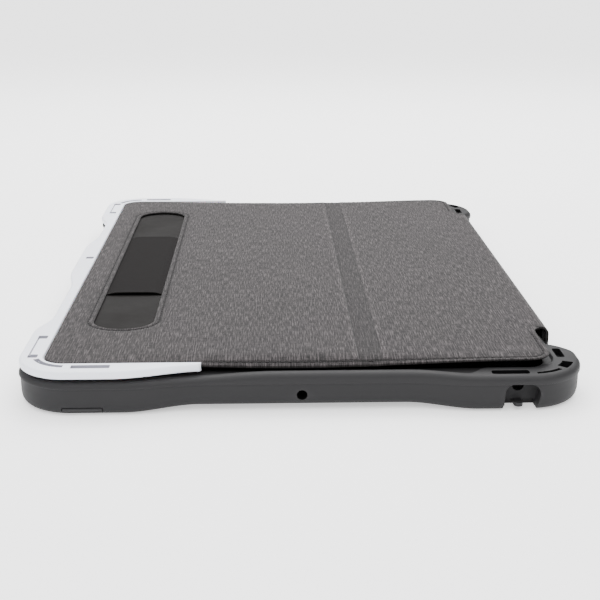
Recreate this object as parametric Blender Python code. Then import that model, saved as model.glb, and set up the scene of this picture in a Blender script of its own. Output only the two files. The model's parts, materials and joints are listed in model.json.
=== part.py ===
"""Rugged tablet keyboard case, closed and lying flat with its keyboard cover on top.

World frame: origin at the centre of the footprint on the surface it rests on, +X across the
short side from the free edge of the cover to its spine, +Y along the long side, +Z up.
The numbers below are millimetres; MM turns them into metres when a mesh is made.
"""
import math

import bmesh
import bpy
from mathutils import Vector

MM = 0.001

# ---- thickness of the tablet it is made for, and the gap that neighbouring solids keep ----
TABLET_THICK = 7.5
GAP = 0.3

# ---- bumper: base half sizes, how far the corners stand out, heights ----
BUMPER_HALF = (92.3, 131.5)
CORNER_PUSH = (5.2, 3.0)
BUMPER_RADIUS = 20.0
SPINE_RECESS = 2.5
FLOOR_TOP = 3.2
CREASE_Z = 9.7
RIM_TOP = 13.3
RIM_LEFT_DROP = 1.6
RIM_RIGHT_DROP = 0.6
RIM_SPINE_DROP = 0.5
SIDE_LIFT = 1.5
LIP_BOTTOM = FLOOR_TOP + TABLET_THICK + 0.25
LIP_TOP = 11.6
CAVITY_HALF = (87.35, 125.6)
CAVITY_RADIUS = 9.0
LIP_HALF = (84.5, 122.8)
FLANGE_HALF = (84.8, 123.1)
FLANGE_TOP = 2.9
RIM_INSET = 3.6
RIM_CORNER_INSET = 9.3
CREASE_STEP = 0.5
LONG_STATIONS = (0.0, 28.0, 56.0, 75.0, 82.0, 88.0, 94.0, 100.0, 104.0, 108.0)
SHORT_STATIONS = (0.0, 20.0, 30.0, 36.0, 42.0, 48.0, 54.0, 60.0, 66.0)
CORNER_STEPS = 6

# ---- openings and pads in the bumper's wall ----
MICROPHONE = (0.0, 5.5, 1.8)
JACK_X = (68.3, 80.3)
JACK_TOP = 9.5
JACK_WALL_Y = -128.7
JACK_WALL_BOTTOM = 2.5
JACK_HOLE = (73.4, 7.6, 2.1)
TONGUE_X = (71.7, 74.7)
TONGUE_Z = (1.3, 2.6)
TONGUE_TIP_Y = -133.0
POWER_X = (-80.5, -66.5)
POWER_Z = (0.9, 3.0)
POWER_STEM_TOP = 5.25
POWER_FACE_Y = -131.9
VOLUME_Y = {"volume_up": -86.0, "volume_down": -71.0}
VOLUME_HALF = 5.8
VOLUME_Z = (3.5, 6.7)
PAD_CLEARANCE = 0.35
PORT_HALF = 8.0
PORT_Z = (3.6, 9.0)
SPEAKER_X = {"left": -34.0, "right": 34.0}
SPEAKER_HALF = 13.0
SPEAKER_Z = (4.6, 8.0)
CONNECTOR_HALF = 11.0
CONNECTOR_Z = (4.5, 8.7)

# ---- shock slots in the rim of the two right corners ----
RIB_BOTTOM = 10.4
RIB_STRAIGHT_X = (64.0, 76.8)
RIB_STRAIGHT_Y = (128.2, 131.6)
RIB_CENTRE = (77.5, 114.5)
RIB_THIN = (15.7, 17.2)
RIB_WIDE = (13.9, 17.6)
RIB_SIDE_X = (89.5, 92.4)
RIB_SIDE_Y = (107.0, 115.8)

# ---- cover: fabric, folds and spine ----
COVER_TOP = 16.0
SKIN_BOTTOM = 15.25
BOARD = (14.15, 14.95)
FABRIC_LEFT = -88.0
FABRIC_HALF_Y = 125.7
FABRIC_RADIUS = 5.0
FOLD_OUTER_X = 19.8
FOLD_INNER_X = 27.6
NOTCH_X = 86.0
SPINE_HALF_Y = 92.0
SPINE_X = 92.2
SPINE_LOW_Z = 4.5
NOTCH_Y = 96.0
BOARD_INSET = 4.2
FOLD_OUTER_PIVOT = (FOLD_OUTER_X, 0.0, COVER_TOP)

# ---- stylus window in the keyboard half ----
WINDOW_X = -65.2
WINDOW_Y = (-90.0, 99.0)
WINDOW_HALF_WIDTH = 11.2
WINDOW_END_DEPTH = 10.0
WINDOW_STEPS = 10
BAND_Y = (-44.5, 46.7)

# ---- keyboard ----
TRAY_PLATE = (14.4, 14.95)
PLATE_HALF_Y = 121.5
FRAME_Z = (13.0, 15.9)
FRAME_WAIST = 92.4
FRAME_CORNER_STEP = 4.3
FRAME_MIDDLE_STEP = 3.3
FRAME_MIDDLE_Y = 8.0
FRAME_HALF_Y = 134.3
FRAME_RADIUS = 18.0
ARM_TIP_X = -34.0
ARM_TIP_HALF_Y = 127.3
DECK_X = (-83.0, 19.0)
DECK_HALF_Y = 121.4
DECK_Z = (11.5, 12.0)
DECK_WALL = 1.2
DECK_WALL_TOP = 14.1
KEY_FACE = 11.1
KEY_TOP = 12.6
WEB_BOTTOM = 12.3
KEY_GAP = 1.8
KEY_FIELD_HALF = 118.0
ROW_UNITS = 14.5
ROW_PITCH = 17.0
ROW_FIRST_X = -80.0
ROW_DEPTH = 15.2
FUNCTION_DEPTH = 9.0
KEY_CLEARANCE = 0.35

# ---- kickstand in the back ----
STAND_X = (3.9, 78.3)
STAND_HALF_Y = 100.5
STAND_Z = (0.8, 1.9)
STAND_AXIS = (4.2, 1.5)
SHELL_BOTTOM = 0.6
PIN_RADIUS = 0.5
BRACKET_BORE = 0.78

COLOURS = {
    "bumper": ((0.085, 0.085, 0.09), 0.55, 0.0),
    "shell": ((0.07, 0.07, 0.075), 0.5, 0.0),
    "frame": ((0.78, 0.78, 0.84), 0.45, 0.0),
    "fabric": ((0.16, 0.15, 0.15), 0.9, 0.0),
    "lining": ((0.12, 0.12, 0.125), 0.95, 0.0),
    "board": ((0.3, 0.3, 0.28), 0.7, 0.0),
    "window": ((0.07, 0.068, 0.066), 0.5, 0.0),
    "elastic": ((0.045, 0.042, 0.042), 0.8, 0.0),
    "key": ((0.1, 0.1, 0.11), 0.6, 0.0),
    "rubber": ((0.25, 0.25, 0.26), 0.8, 0.0),
    "circuit": ((0.05, 0.16, 0.09), 0.5, 0.0),
    "copper": ((0.72, 0.42, 0.2), 0.35, 0.6),
    "steel": ((0.55, 0.55, 0.57), 0.35, 1.0),
    "gold": ((0.85, 0.65, 0.3), 0.3, 1.0),
}


# ------------------------------------------------------------------ general helpers
def clear_scene():
    for item in list(bpy.data.objects):
        bpy.data.objects.remove(item, do_unlink=True)


def material(slot):
    """One Principled material for each entry of COLOURS."""
    found = bpy.data.materials.get(slot)
    if found:
        return found
    colour, roughness, metallic = COLOURS[slot]
    made = bpy.data.materials.new(slot)
    made.use_nodes = True
    shader = made.node_tree.nodes["Principled BSDF"]
    shader.inputs["Base Color"].default_value = (*colour, 1.0)
    shader.inputs["Roughness"].default_value = roughness
    shader.inputs["Metallic"].default_value = metallic
    made.diffuse_color = (*colour, 1.0)
    return made


def place(name, bm, slot, pivot=(0.0, 0.0, 0.0)):
    """Turn a bmesh in millimetres into a named object with its origin at the pivot."""
    bmesh.ops.recalc_face_normals(bm, faces=bm.faces)
    shift = Vector(pivot)
    for vert in bm.verts:
        vert.co = (vert.co - shift) * MM
    mesh = bpy.data.meshes.new(name)
    bm.to_mesh(mesh)
    bm.free()
    mesh.shade_smooth()
    mesh.set_sharp_from_angle(angle=math.radians(35))
    mesh.materials.append(material(slot))
    made = bpy.data.objects.new(name, mesh)
    made.location = shift * MM
    bpy.context.collection.objects.link(made)
    return made


def loft(rings, closed=False):
    """Skin a list of equal point rings; the ends are capped unless the rings close on themselves."""
    bm = bmesh.new()
    loops = [[bm.verts.new(point) for point in ring] for ring in rings]
    count = len(rings[0])
    pairs = list(zip(loops, loops[1:]))
    if closed:
        pairs.append((loops[-1], loops[0]))
    for low, high in pairs:
        for i in range(count):
            j = (i + 1) % count
            bm.faces.new((low[i], low[j], high[j], high[i]))
    if not closed:
        bm.faces.new(list(reversed(loops[0])))
        bm.faces.new(loops[-1])
    return bm


def prism_z(outline, low, high):
    return loft([[(x, y, z) for x, y in outline] for z in (low, high)])


def prism_y(profile, low, high):
    return loft([[(x, y, z) for x, z in profile] for y in (low, high)])


def prism_x(profile, low, high):
    return loft([[(x, y, z) for y, z in profile] for x in (low, high)])


def box(x, y, z):
    return prism_z([(x[0], y[0]), (x[1], y[0]), (x[1], y[1]), (x[0], y[1])], z[0], z[1])


def arc(cx, cy, radius, start, end, steps):
    """Points of an arc, both ends included; the angles are degrees."""
    points = []
    for i in range(steps + 1):
        angle = math.radians(start + (end - start) * i / steps)
        points.append((cx + radius * math.cos(angle), cy + radius * math.sin(angle)))
    return points


def rounded_rectangle(x, y, radius, steps=4):
    x0, x1 = x
    y0, y1 = y
    outline = arc(x1 - radius, y0 + radius, radius, -90, 0, steps)
    outline += arc(x1 - radius, y1 - radius, radius, 0, 90, steps)
    outline += arc(x0 + radius, y1 - radius, radius, 90, 180, steps)
    outline += arc(x0 + radius, y0 + radius, radius, 180, 270, steps)
    return outline


def circle(cx, cy, radius, steps=16):
    """Full circle whose points lie off the axes, clear of the corners of what it cuts."""
    half_step = 180.0 / steps
    return arc(cx, cy, radius, half_step, 360.0 - half_step, steps - 1)


def smoothstep(value, low, high):
    t = min(max((value - low) / (high - low), 0.0), 1.0)
    return t * t * (3.0 - 2.0 * t)


def cutter(name, bm):
    """A solid that only cuts: it isn't part of the model."""
    made = place(name, bm, "steel")
    made.hide_render = True
    made.display_type = "WIRE"
    return made


def boolean(target, other, operation):
    change = target.modifiers.new(other.name, "BOOLEAN")
    change.object = other
    change.operation = operation
    change.solver = "EXACT"


def cut(target, name, bm):
    boolean(target, cutter(name, bm), "DIFFERENCE")


def fuse(target, name, bm):
    boolean(target, cutter(name, bm), "UNION")


# ------------------------------------------------------------------ bumper
def corner_weight(x, y):
    """1 at the four corners, 0 along the middle of each side."""
    return smoothstep(abs(x), 35, 60) * smoothstep(abs(y), 75, 100)


def mirrored_stations(stations):
    return [-s for s in reversed(stations[1:])] + list(stations)


def bumper_loop(half, radius, push, recess):
    """Plan loop with the same points at every inset, so that loops can be skinned.

    push moves the corners out, and recess draws the right side in beside the spine.
    """
    hx, hy = half
    px, py = push
    long_side = mirrored_stations(LONG_STATIONS)
    short_side = mirrored_stations(SHORT_STATIONS)

    def corner(side_x, side_y, start):
        turn = arc(side_x * (hx - radius), side_y * (hy - radius), radius, start, start + 74, CORNER_STEPS)
        return [(x + side_x * px, y + side_y * py) for x, y in turn]

    points = []
    for y in long_side:
        block = smoothstep(abs(y), 100, 104)
        points.append((hx + px * block - recess * (1.0 - block), y))
    points += corner(1, 1, 8)
    points += [(x, hy + py * smoothstep(abs(x), 35, 60)) for x in reversed(short_side)]
    points += corner(-1, 1, 98)
    points += [(-hx - px * smoothstep(abs(y), 75, 100), y) for y in reversed(long_side)]
    points += corner(-1, -1, 188)
    points += [(x, -hy - py * smoothstep(abs(x), 35, 60)) for x in short_side]
    points += corner(1, -1, 278)
    return points


def outer_loop(inset):
    half = (BUMPER_HALF[0] - inset, BUMPER_HALF[1] - inset)
    return bumper_loop(half, BUMPER_RADIUS - inset, CORNER_PUSH, SPINE_RECESS)


def inner_loop(half, radius):
    return bumper_loop(half, radius, (0.0, 0.0), 0.0)


def rim_loop(extra):
    """Inner edge of the rim's top, which is wider at the two right corners."""
    points = []
    for (x, y), (wide_x, wide_y) in zip(outer_loop(RIM_INSET + extra), outer_loop(RIM_CORNER_INSET + extra)):
        weight = smoothstep(x, 56, 63) * smoothstep(abs(y), 100, 104)
        points.append((x + (wide_x - x) * weight, y + (wide_y - y) * weight))
    return points


def rim_height(x, y):
    """The rim is highest at mid side, lower at the spine and scooped under the white frame."""
    left = smoothstep(-x, 8, 44)
    right = smoothstep(x, 40, 62)
    spine = smoothstep(x, 80, 85) * (1.0 - smoothstep(abs(y), 100, 104))
    return RIM_TOP - RIM_LEFT_DROP * left - RIM_RIGHT_DROP * right - RIM_SPINE_DROP * spine


def make_bumper():
    def ring(loop, height):
        return [(x, y, height(x, y)) for x, y in loop]

    def flat(z):
        return lambda x, y: z

    def lifted(z):
        return lambda x, y: z + SIDE_LIFT * (1.0 - corner_weight(x, y))

    def below_rim(drop):
        return lambda x, y: rim_height(x, y) - drop

    flange = inner_loop(FLANGE_HALF, CAVITY_RADIUS - 2)
    cavity = inner_loop(CAVITY_HALF, CAVITY_RADIUS)
    lip = inner_loop(LIP_HALF, CAVITY_RADIUS - 2)
    rings = [
        ring(flange, lifted(0.0)),
        ring(outer_loop(3.4), lifted(0.0)),
        ring(outer_loop(1.6), lifted(0.5)),
        ring(outer_loop(0.8), lifted(1.5)),
        ring(outer_loop(CREASE_STEP), lifted(3.0)),
        ring(outer_loop(CREASE_STEP), flat(CREASE_Z - 0.3)),
        ring(outer_loop(0.0), flat(CREASE_Z)),
        ring(outer_loop(0.0), below_rim(1.0)),
        ring(outer_loop(0.4), below_rim(0.3)),
        ring(outer_loop(1.3), below_rim(0.0)),
        ring(rim_loop(0.0), below_rim(0.0)),
        ring(rim_loop(0.6), flat(LIP_TOP)),
        ring(lip, flat(LIP_TOP)),
        ring(lip, flat(LIP_BOTTOM)),
        ring(cavity, flat(LIP_BOTTOM)),
        ring(cavity, flat(FLANGE_TOP)),
        ring(flange, flat(FLANGE_TOP)),
    ]
    bumper = place("bumper", loft(rings, closed=True), "bumper")
    cut_side_openings(bumper)
    cut_jack_recess(bumper)
    cut_shock_slots(bumper)
    return bumper


def rounded_xz(width, height, radius):
    return rounded_rectangle(width, height, radius, 3)


def cut_side_openings(bumper):
    """Microphone, pads, charging port, speakers and connector, each straight through one wall."""
    wall_x, wall_y = CAVITY_HALF
    beyond = BUMPER_HALF[1] + 8
    cut(bumper, "cut_microphone", prism_y(circle(*MICROPHONE, 12), -beyond, 1 - wall_y))
    face = rounded_xz(POWER_X, POWER_Z, 0.8)
    cut(bumper, "cut_power_face", prism_y(face, -beyond, POWER_FACE_Y + 0.5))
    stem = (POWER_FACE_Y, GAP - wall_y)
    cut(bumper, "cut_power_stem", box(POWER_X, stem, (POWER_Z[0], POWER_STEM_TOP)))
    for name, y in VOLUME_Y.items():
        hole = rounded_xz((y - VOLUME_HALF, y + VOLUME_HALF), VOLUME_Z, 1.0)
        cut(bumper, f"cut_{name}", prism_x(hole, -102, GAP - wall_x))
    port = rounded_xz((-PORT_HALF, PORT_HALF), PORT_Z, 2.0)
    cut(bumper, "cut_charging_port", prism_y(port, wall_y - 1, beyond))
    for name, x in SPEAKER_X.items():
        slot = rounded_xz((x - SPEAKER_HALF, x + SPEAKER_HALF), SPEAKER_Z, 1.5)
        cut(bumper, f"cut_speaker_{name}", prism_y(slot, wall_y - 1, beyond))
    connector = rounded_xz((-CONNECTOR_HALF, CONNECTOR_HALF), CONNECTOR_Z, 0.8)
    cut(bumper, "cut_connector", prism_x(connector, wall_x - 1, 92))


def cut_jack_recess(bumper):
    """Arched recess for a headphone plug, open underneath, with a round hole in its back wall."""
    left, right = JACK_X
    beyond_y = -BUMPER_HALF[1] - 8
    arch = [(left, -2), (right, -2)] + arc(right - 3.6, JACK_TOP - 3.6, 3.6, 0, 90, 4)
    arch += arc(left + 3.0, JACK_TOP - 3.0, 3.0, 90, 180, 4)
    cut(bumper, "cut_jack", prism_y(arch, beyond_y, JACK_WALL_Y))
    under = box((left + 0.9, right - 0.9), (JACK_WALL_Y - 1, JACK_WALL_Y + 2.3), (-2, JACK_WALL_BOTTOM))
    cut(bumper, "cut_jack_underside", under)
    cut(bumper, "cut_jack_hole", prism_y(circle(*JACK_HOLE, 12), JACK_WALL_Y - 0.8, 1 - CAVITY_HALF[1]))


def cut_shock_slots(bumper):
    """Blind slots that soften the rim at both right corners."""
    height = (RIB_BOTTOM, 15.0)
    for side in (-1, 1):
        straight = sorted(side * y for y in RIB_STRAIGHT_Y)
        cut(bumper, f"cut_rib_straight_{side}", box(RIB_STRAIGHT_X, straight, height))
        beside = sorted(side * y for y in RIB_SIDE_Y)
        cut(bumper, f"cut_rib_side_{side}", box(RIB_SIDE_X, beside, height))
        for name, radii, span in (("thin", RIB_THIN, (50, 84)), ("wide", RIB_WIDE, (21, 43))):
            bend = arc(*RIB_CENTRE, radii[1], *span, 5) + arc(*RIB_CENTRE, radii[0], *reversed(span), 5)
            curved = prism_z([(x, side * y) for x, y in bend], *height)
            cut(bumper, f"cut_rib_{name}_{side}", curved)


def make_buttons():
    """Press pads let into the bumper's wall; each slides inwards onto the tablet's own button."""
    gap = PAD_CLEARANCE
    back = -CAVITY_HALF[1] - 0.1
    front = -BUMPER_HALF[1] - CORNER_PUSH[1] + 0.9
    low, high = POWER_Z[0] + gap, POWER_Z[1] - gap
    profile = [(front, low + 0.4), (front + 0.4, low), (POWER_FACE_Y + 1.3, low)]
    profile += [(POWER_FACE_Y + 1.3, FLANGE_TOP + 0.4), (back, FLANGE_TOP + 0.4)]
    profile += [(back, POWER_STEM_TOP - gap), (POWER_FACE_Y + 0.6, POWER_STEM_TOP - gap)]
    profile += [(POWER_FACE_Y + 0.6, high)]
    profile += [(front + 0.4, high), (front, high - 0.4)]
    pad = prism_x(profile, POWER_X[0] + gap, POWER_X[1] - gap)
    place("power_button", pad, "bumper", (sum(POWER_X) / 2, front, sum(POWER_Z) / 2))
    low, high = VOLUME_Z[0] + gap, VOLUME_Z[1] - gap
    back = -CAVITY_HALF[0] - 0.1
    for name, y in VOLUME_Y.items():
        face = 0.3 - BUMPER_HALF[0] - CORNER_PUSH[0] * smoothstep(abs(y), 75, 100)
        profile = [(face, low + 0.35), (face + 0.35, low), (back, low)]
        profile += [(back, high), (face + 0.35, high), (face, high - 0.35)]
        pad = prism_y(profile, y - VOLUME_HALF + gap, y + VOLUME_HALF - gap)
        place(f"{name}_button", pad, "bumper", (face, y, sum(VOLUME_Z) / 2))


def make_jack_tongue():
    radius = (TONGUE_X[1] - TONGUE_X[0]) / 2
    centre_y = TONGUE_TIP_Y + radius
    root_y = JACK_WALL_Y + 2.7
    tip = arc(sum(TONGUE_X) / 2, centre_y, radius, 180, 360, 5)
    return prism_z([(TONGUE_X[0], root_y)] + tip + [(TONGUE_X[1], root_y)], *TONGUE_Z)


# ------------------------------------------------------------------ back shell and kickstand
def make_rear_shell():
    outline = rounded_rectangle((-84.5, 84.5), (-122.8, 122.8), CAVITY_RADIUS - 2, 4)
    shell = place("rear_shell", prism_z(outline, SHELL_BOTTOM, FLOOR_TOP), "shell")
    recess = rounded_rectangle((2.0, 79.0), (-STAND_HALF_Y - 0.7, STAND_HALF_Y + 0.7), 1.5, 2)
    cut(shell, "cut_stand_recess", prism_z(recess, -1, STAND_Z[1] + GAP))
    scoop = rounded_rectangle((78.0, 83.0), (-13, 13), 2.4, 3)
    cut(shell, "cut_finger_scoop", prism_z(scoop, -1, STAND_Z[1]))
    for side in (-1, 1):
        pocket = box((0.6, 7.8), sorted((side * 100.0, side * 110.6)), (-1, 2.8))
        cut(shell, f"cut_bracket_pocket_{side}", pocket)
    cut(shell, "cut_camera", prism_z(circle(-74.0, -112.0, 6.5, 20), -1, 5))


def make_kickstand():
    axis = (STAND_AXIS[0], 0.0, STAND_AXIS[1])
    outline = rounded_rectangle(STAND_X, (-STAND_HALF_Y, STAND_HALF_Y), 1.2, 2)
    plate = place("kickstand_plate", prism_z(outline, *STAND_Z), "shell", axis)
    grip_groove = box((72.9, 76.1), (-62.0, 62.0), (0.0, 1.25))
    cut(plate, "cut_grip_groove", grip_groove)
    grip = rounded_rectangle((73.2, 75.8), (-61.7, 61.7), 1.0, 2)
    place("kickstand_grip", prism_z(grip, 0.65, 1.0), "rubber", axis)
    for side, end in ((-1, "near"), (1, "far")):
        span = sorted((side * (STAND_HALF_Y + 0.3), side * 109.6))
        pin = prism_y(circle(*STAND_AXIS, PIN_RADIUS, 12), *span)
        place(f"kickstand_pin_{end}", pin, "steel", axis)
        block_span = sorted((side * 102.2, side * 110.3))
        block = box((1.0, 7.4), block_span, (0.65, 2.5))
        bracket = place(f"hinge_bracket_{end}", block, "steel")
        bore = prism_y(circle(*STAND_AXIS, BRACKET_BORE, 12), side * 106 - 8, side * 106 + 8)
        cut(bracket, f"cut_bracket_bore_{end}", bore)


# ------------------------------------------------------------------ connector and spine
def make_connector():
    block = box((88.1, 89.6), (-10.7, 10.7), (4.8, 8.4))
    place("connector_block", block, "shell")
    contacts = place("connector_contacts", box((87.65, 87.85), (-10.0, 10.0), (5.2, 8.0)), "gold")
    for y in (-5.0, 0.0, 5.0):
        dome = prism_x([(y + a, 6.6 + b) for a, b in circle(0, 0, 1.1, 12)], 87.4, 87.75)
        fuse(contacts, f"contact_dome_{y:.0f}", dome)


def make_spine():
    half = SPINE_HALF_Y - 1
    place("spine_anchor_strip", box((90.1, 91.4), (-half, half), (1.9, 4.2)), "steel")
    low = (SPINE_X, 0.0, SPINE_LOW_Z)
    bottom = SPINE_LOW_Z + GAP
    top = BOARD[1]
    place("spine_board", box((90.1, 90.8), (-half, half), (bottom, top)), "board", low)
    place("spine_flex", box((90.95, 91.15), (-6, 6), (bottom, top)), "copper", low)
    place("spine_skin", box((91.4, SPINE_X), (-SPINE_HALF_Y, SPINE_HALF_Y), (bottom, top)), "fabric", low)


# ------------------------------------------------------------------ front panel and fold strip
def panel_outline(left, right, inset):
    """Panel beside the spine: square at the fold, cut back at both right corners."""
    edge = FABRIC_HALF_Y - inset
    notch = NOTCH_X - inset
    half = [(notch, NOTCH_Y - inset), (right, SPINE_HALF_Y - inset)]
    round_corner = arc(notch - FABRIC_RADIUS, edge - FABRIC_RADIUS, FABRIC_RADIUS, 90, 0, 4)
    upper = [(left, edge)] + round_corner + half
    return upper + [(x, -y) for x, y in reversed(upper)]


def make_panel():
    pivot = (SPINE_X, 0.0, COVER_TOP)
    left = FOLD_INNER_X + GAP
    skin = panel_outline(left, SPINE_X - GAP, 0.0)
    place("panel_skin", prism_z(skin, SKIN_BOTTOM, COVER_TOP), "fabric", pivot)
    place("panel_board", prism_z(panel_outline(left + 1, 89.8, BOARD_INSET), *BOARD), "board", pivot)
    lining = panel_outline(left + 0.5, 88.0, BOARD_INSET)
    place("panel_lining", prism_z(lining, 13.3, 13.55), "lining", pivot)
    place("panel_flex", box((left + 1.5, 87.5), (-6, 6), (13.75, 13.92)), "copper", pivot)


def make_fold_strip():
    pivot = (FOLD_INNER_X, 0.0, COVER_TOP)
    x = (FOLD_OUTER_X + GAP, FOLD_INNER_X - GAP)
    span = (-FABRIC_HALF_Y, FABRIC_HALF_Y)
    place("fold_skin", box(x, span, (SKIN_BOTTOM, COVER_TOP)), "fabric", pivot)
    inner = (BOARD_INSET - FABRIC_HALF_Y, FABRIC_HALF_Y - BOARD_INSET)
    place("fold_lining", box(x, inner, (14.5, 14.75)), "lining", pivot)
    place("fold_flex", box(x, (-6, 6), (14.9, 15.05)), "copper", pivot)


# ------------------------------------------------------------------ keyboard
def stadium(extra):
    """Outline of the stylus window, grown by extra; its ends are flattened arcs."""
    half = WINDOW_HALF_WIDTH + extra
    low, high = WINDOW_Y[0] - extra, WINDOW_Y[1] + extra
    turns = [math.pi * i / WINDOW_STEPS for i in range(WINDOW_STEPS + 1)]
    top = []
    bottom = []
    for turn in turns:
        across = half * math.cos(turn)
        along = WINDOW_END_DEPTH * (1.0 - math.sin(turn))
        top.append((WINDOW_X + across, high - along))
        bottom.append((WINDOW_X - across, low + along))
    return top + bottom


def frame_edge(y):
    """Half width of the white frame along its left side: proud at the corners and at mid side."""
    corner = smoothstep(abs(y), 75, 92)
    middle = 1.0 - smoothstep(abs(y - FRAME_MIDDLE_Y), 20, 43)
    return FRAME_WAIST + FRAME_CORNER_STEP * corner + FRAME_MIDDLE_STEP * middle


def frame_sections():
    """Inner and outer edge of the white C-shaped frame, from the near arm's tip round to the far one."""
    inner_x = FABRIC_LEFT - GAP
    inner_y = FABRIC_HALF_Y + GAP
    end = []
    for x in (ARM_TIP_X, -40.0, -46.0, -52.0, -58.0, -66.0, -74.0):
        reach = ARM_TIP_HALF_Y + (FRAME_HALF_Y - ARM_TIP_HALF_Y) * smoothstep(-x, 30, 64)
        end.append(((x, -inner_y), (x, -reach)))
    widest = FRAME_WAIST + FRAME_CORNER_STEP
    outer = arc(FRAME_RADIUS - widest, FRAME_RADIUS - FRAME_HALF_Y, FRAME_RADIUS, 266, 184, 7)
    inner = arc(inner_x + FABRIC_RADIUS, FABRIC_RADIUS - inner_y, FABRIC_RADIUS, 266, 184, 7)
    end += list(zip(inner, outer))
    side_stations = (-112, -102, -92, -86, -80, -74, -56, -38, -30, -22, -12, 8, 26, 34, 42, 52)
    side_stations += (64, 74, 80, 86, 92, 102, 112)
    side = [((inner_x, y), (-frame_edge(y), y)) for y in side_stations]
    return end + side + [((i[0], -i[1]), (o[0], -o[1])) for i, o in reversed(end)]


def make_tray():
    low, high = FRAME_Z
    rings = []
    for (ix, iy), (ox, oy) in frame_sections():
        soft_x, soft_y = ox + (ix - ox) * 0.14, oy + (iy - oy) * 0.14
        rings.append([
            (ix, iy, low), (soft_x, soft_y, low), (ox, oy, low + 0.5),
            (ox, oy, high - 0.7), (soft_x, soft_y, high), (ix, iy, high),
        ])
    tray = place("keyboard_tray", loft(rings), "frame", FOLD_OUTER_PIVOT)
    plate_x = (FABRIC_LEFT - 1.5, FOLD_OUTER_X - GAP)
    fuse(tray, "join_plate", box(plate_x, (-PLATE_HALF_Y, PLATE_HALF_Y), TRAY_PLATE))
    for side in (-1, 1):
        arm = sorted((side * (PLATE_HALF_Y - 0.5), side * (FABRIC_HALF_Y + 1.1)))
        fuse(tray, f"join_arm_{side}", box((-84.0, ARM_TIP_X - 2), arm, TRAY_PLATE))
    cut(tray, "cut_tray_window", prism_z(stadium(4.0), 13.0, 17.0))


def make_stylus_bay():
    place("stylus_pan", prism_z(stadium(3.7), 14.4, 14.65), "window", FOLD_OUTER_PIVOT)
    half = WINDOW_HALF_WIDTH + 3.0
    edge = WINDOW_HALF_WIDTH - 0.6
    raised = edge - 1.5
    under = [(-half, 14.8), (-edge, 14.8), (-raised, 15.15), (raised, 15.15), (edge, 14.8), (half, 14.8)]
    over = [(half, 15.1), (edge, 15.1), (raised, 15.65), (-raised, 15.65), (-edge, 15.1), (-half, 15.1)]
    profile = [(WINDOW_X + x, z) for x, z in under + over]
    place("elastic_band", prism_y(profile, *BAND_Y), "elastic", FOLD_OUTER_PIVOT)


def make_keyboard_skin():
    right = FOLD_OUTER_X - GAP
    outline = [(right, FABRIC_HALF_Y)]
    outline += arc(FABRIC_LEFT + FABRIC_RADIUS, FABRIC_HALF_Y - FABRIC_RADIUS, FABRIC_RADIUS, 90, 180, 4)
    outline += arc(FABRIC_LEFT + FABRIC_RADIUS, FABRIC_RADIUS - FABRIC_HALF_Y, FABRIC_RADIUS, 180, 270, 4)
    outline += [(right, -FABRIC_HALF_Y)]
    skin = place("keyboard_skin", prism_z(outline, SKIN_BOTTOM, COVER_TOP), "fabric", FOLD_OUTER_PIVOT)
    cut(skin, "cut_skin_window", prism_z(stadium(0.0), 13.0, 17.0))


def key_rows():
    """Rows from the space bar's row up: (x range, [(name or None, low y, high y), ...])."""
    unit = 2 * KEY_FIELD_HALF / ROW_UNITS
    layouts = [
        [
            ("key_globe", 1.0), ("key_control", 1.0), ("key_option_left", 1.0),
            ("key_command_left", 1.25), ("key_space", 5.0), ("key_command_right", 1.25),
            ("key_option_right", 1.0), ("key_arrow_left", 1.0), ("arrow_pair", 1.0),
            ("key_arrow_right", 1.0),
        ],
        [("key_shift_left", 2.25)] + [(None, 1.0)] * 10 + [("key_shift_right", 2.25)],
        [("key_caps_lock", 1.75)] + [(None, 1.0)] * 11 + [("key_return", 1.75)],
        [("key_tab", 1.5)] + [(None, 1.0)] * 13,
        [(None, 1.0)] * 13 + [("key_backspace", 1.5)],
        [(None, ROW_UNITS / 14)] * 14,
    ]
    rows = []
    for number, layout in enumerate(layouts):
        low = ROW_FIRST_X + number * ROW_PITCH
        depth = FUNCTION_DEPTH if number == len(layouts) - 1 else ROW_DEPTH
        y = -KEY_FIELD_HALF
        keys = []
        for name, units in layout:
            keys.append((name, y + KEY_GAP / 2, y + units * unit - KEY_GAP / 2))
            y += units * unit
        rows.append(((low, low + depth), keys))
    return rows


def key_cap(x, y):
    """A keycap that narrows towards its face, which looks down in the closed case."""
    rings = []
    for inset, z in ((0.9, KEY_FACE), (0.55, KEY_FACE + 0.25), (0.0, WEB_BOTTOM), (0.0, KEY_TOP)):
        outline = rounded_rectangle((x[0] + inset, x[1] - inset), (y[0] + inset, y[1] - inset), 0.8, 1)
        rings.append([(px, py, z) for px, py in outline])
    return loft(rings)


def key_run(x, spans):
    """Plain keys of one row, joined by a thin web behind the deck."""
    profile = []
    for low, high in spans:
        profile += [(low, WEB_BOTTOM), (low + 0.7, KEY_FACE), (high - 0.7, KEY_FACE), (high, WEB_BOTTOM)]
    profile += [(spans[-1][1], KEY_TOP), (spans[0][0], KEY_TOP)]
    return prism_x(profile, *x)


def split_arrow_pair(x, low, high):
    middle = (x[0] + x[1]) / 2
    down = ("key_arrow_down", (x[0], middle - 0.5), low, high)
    up = ("key_arrow_up", (middle + 0.5, x[1]), low, high)
    return [down, up]


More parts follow.
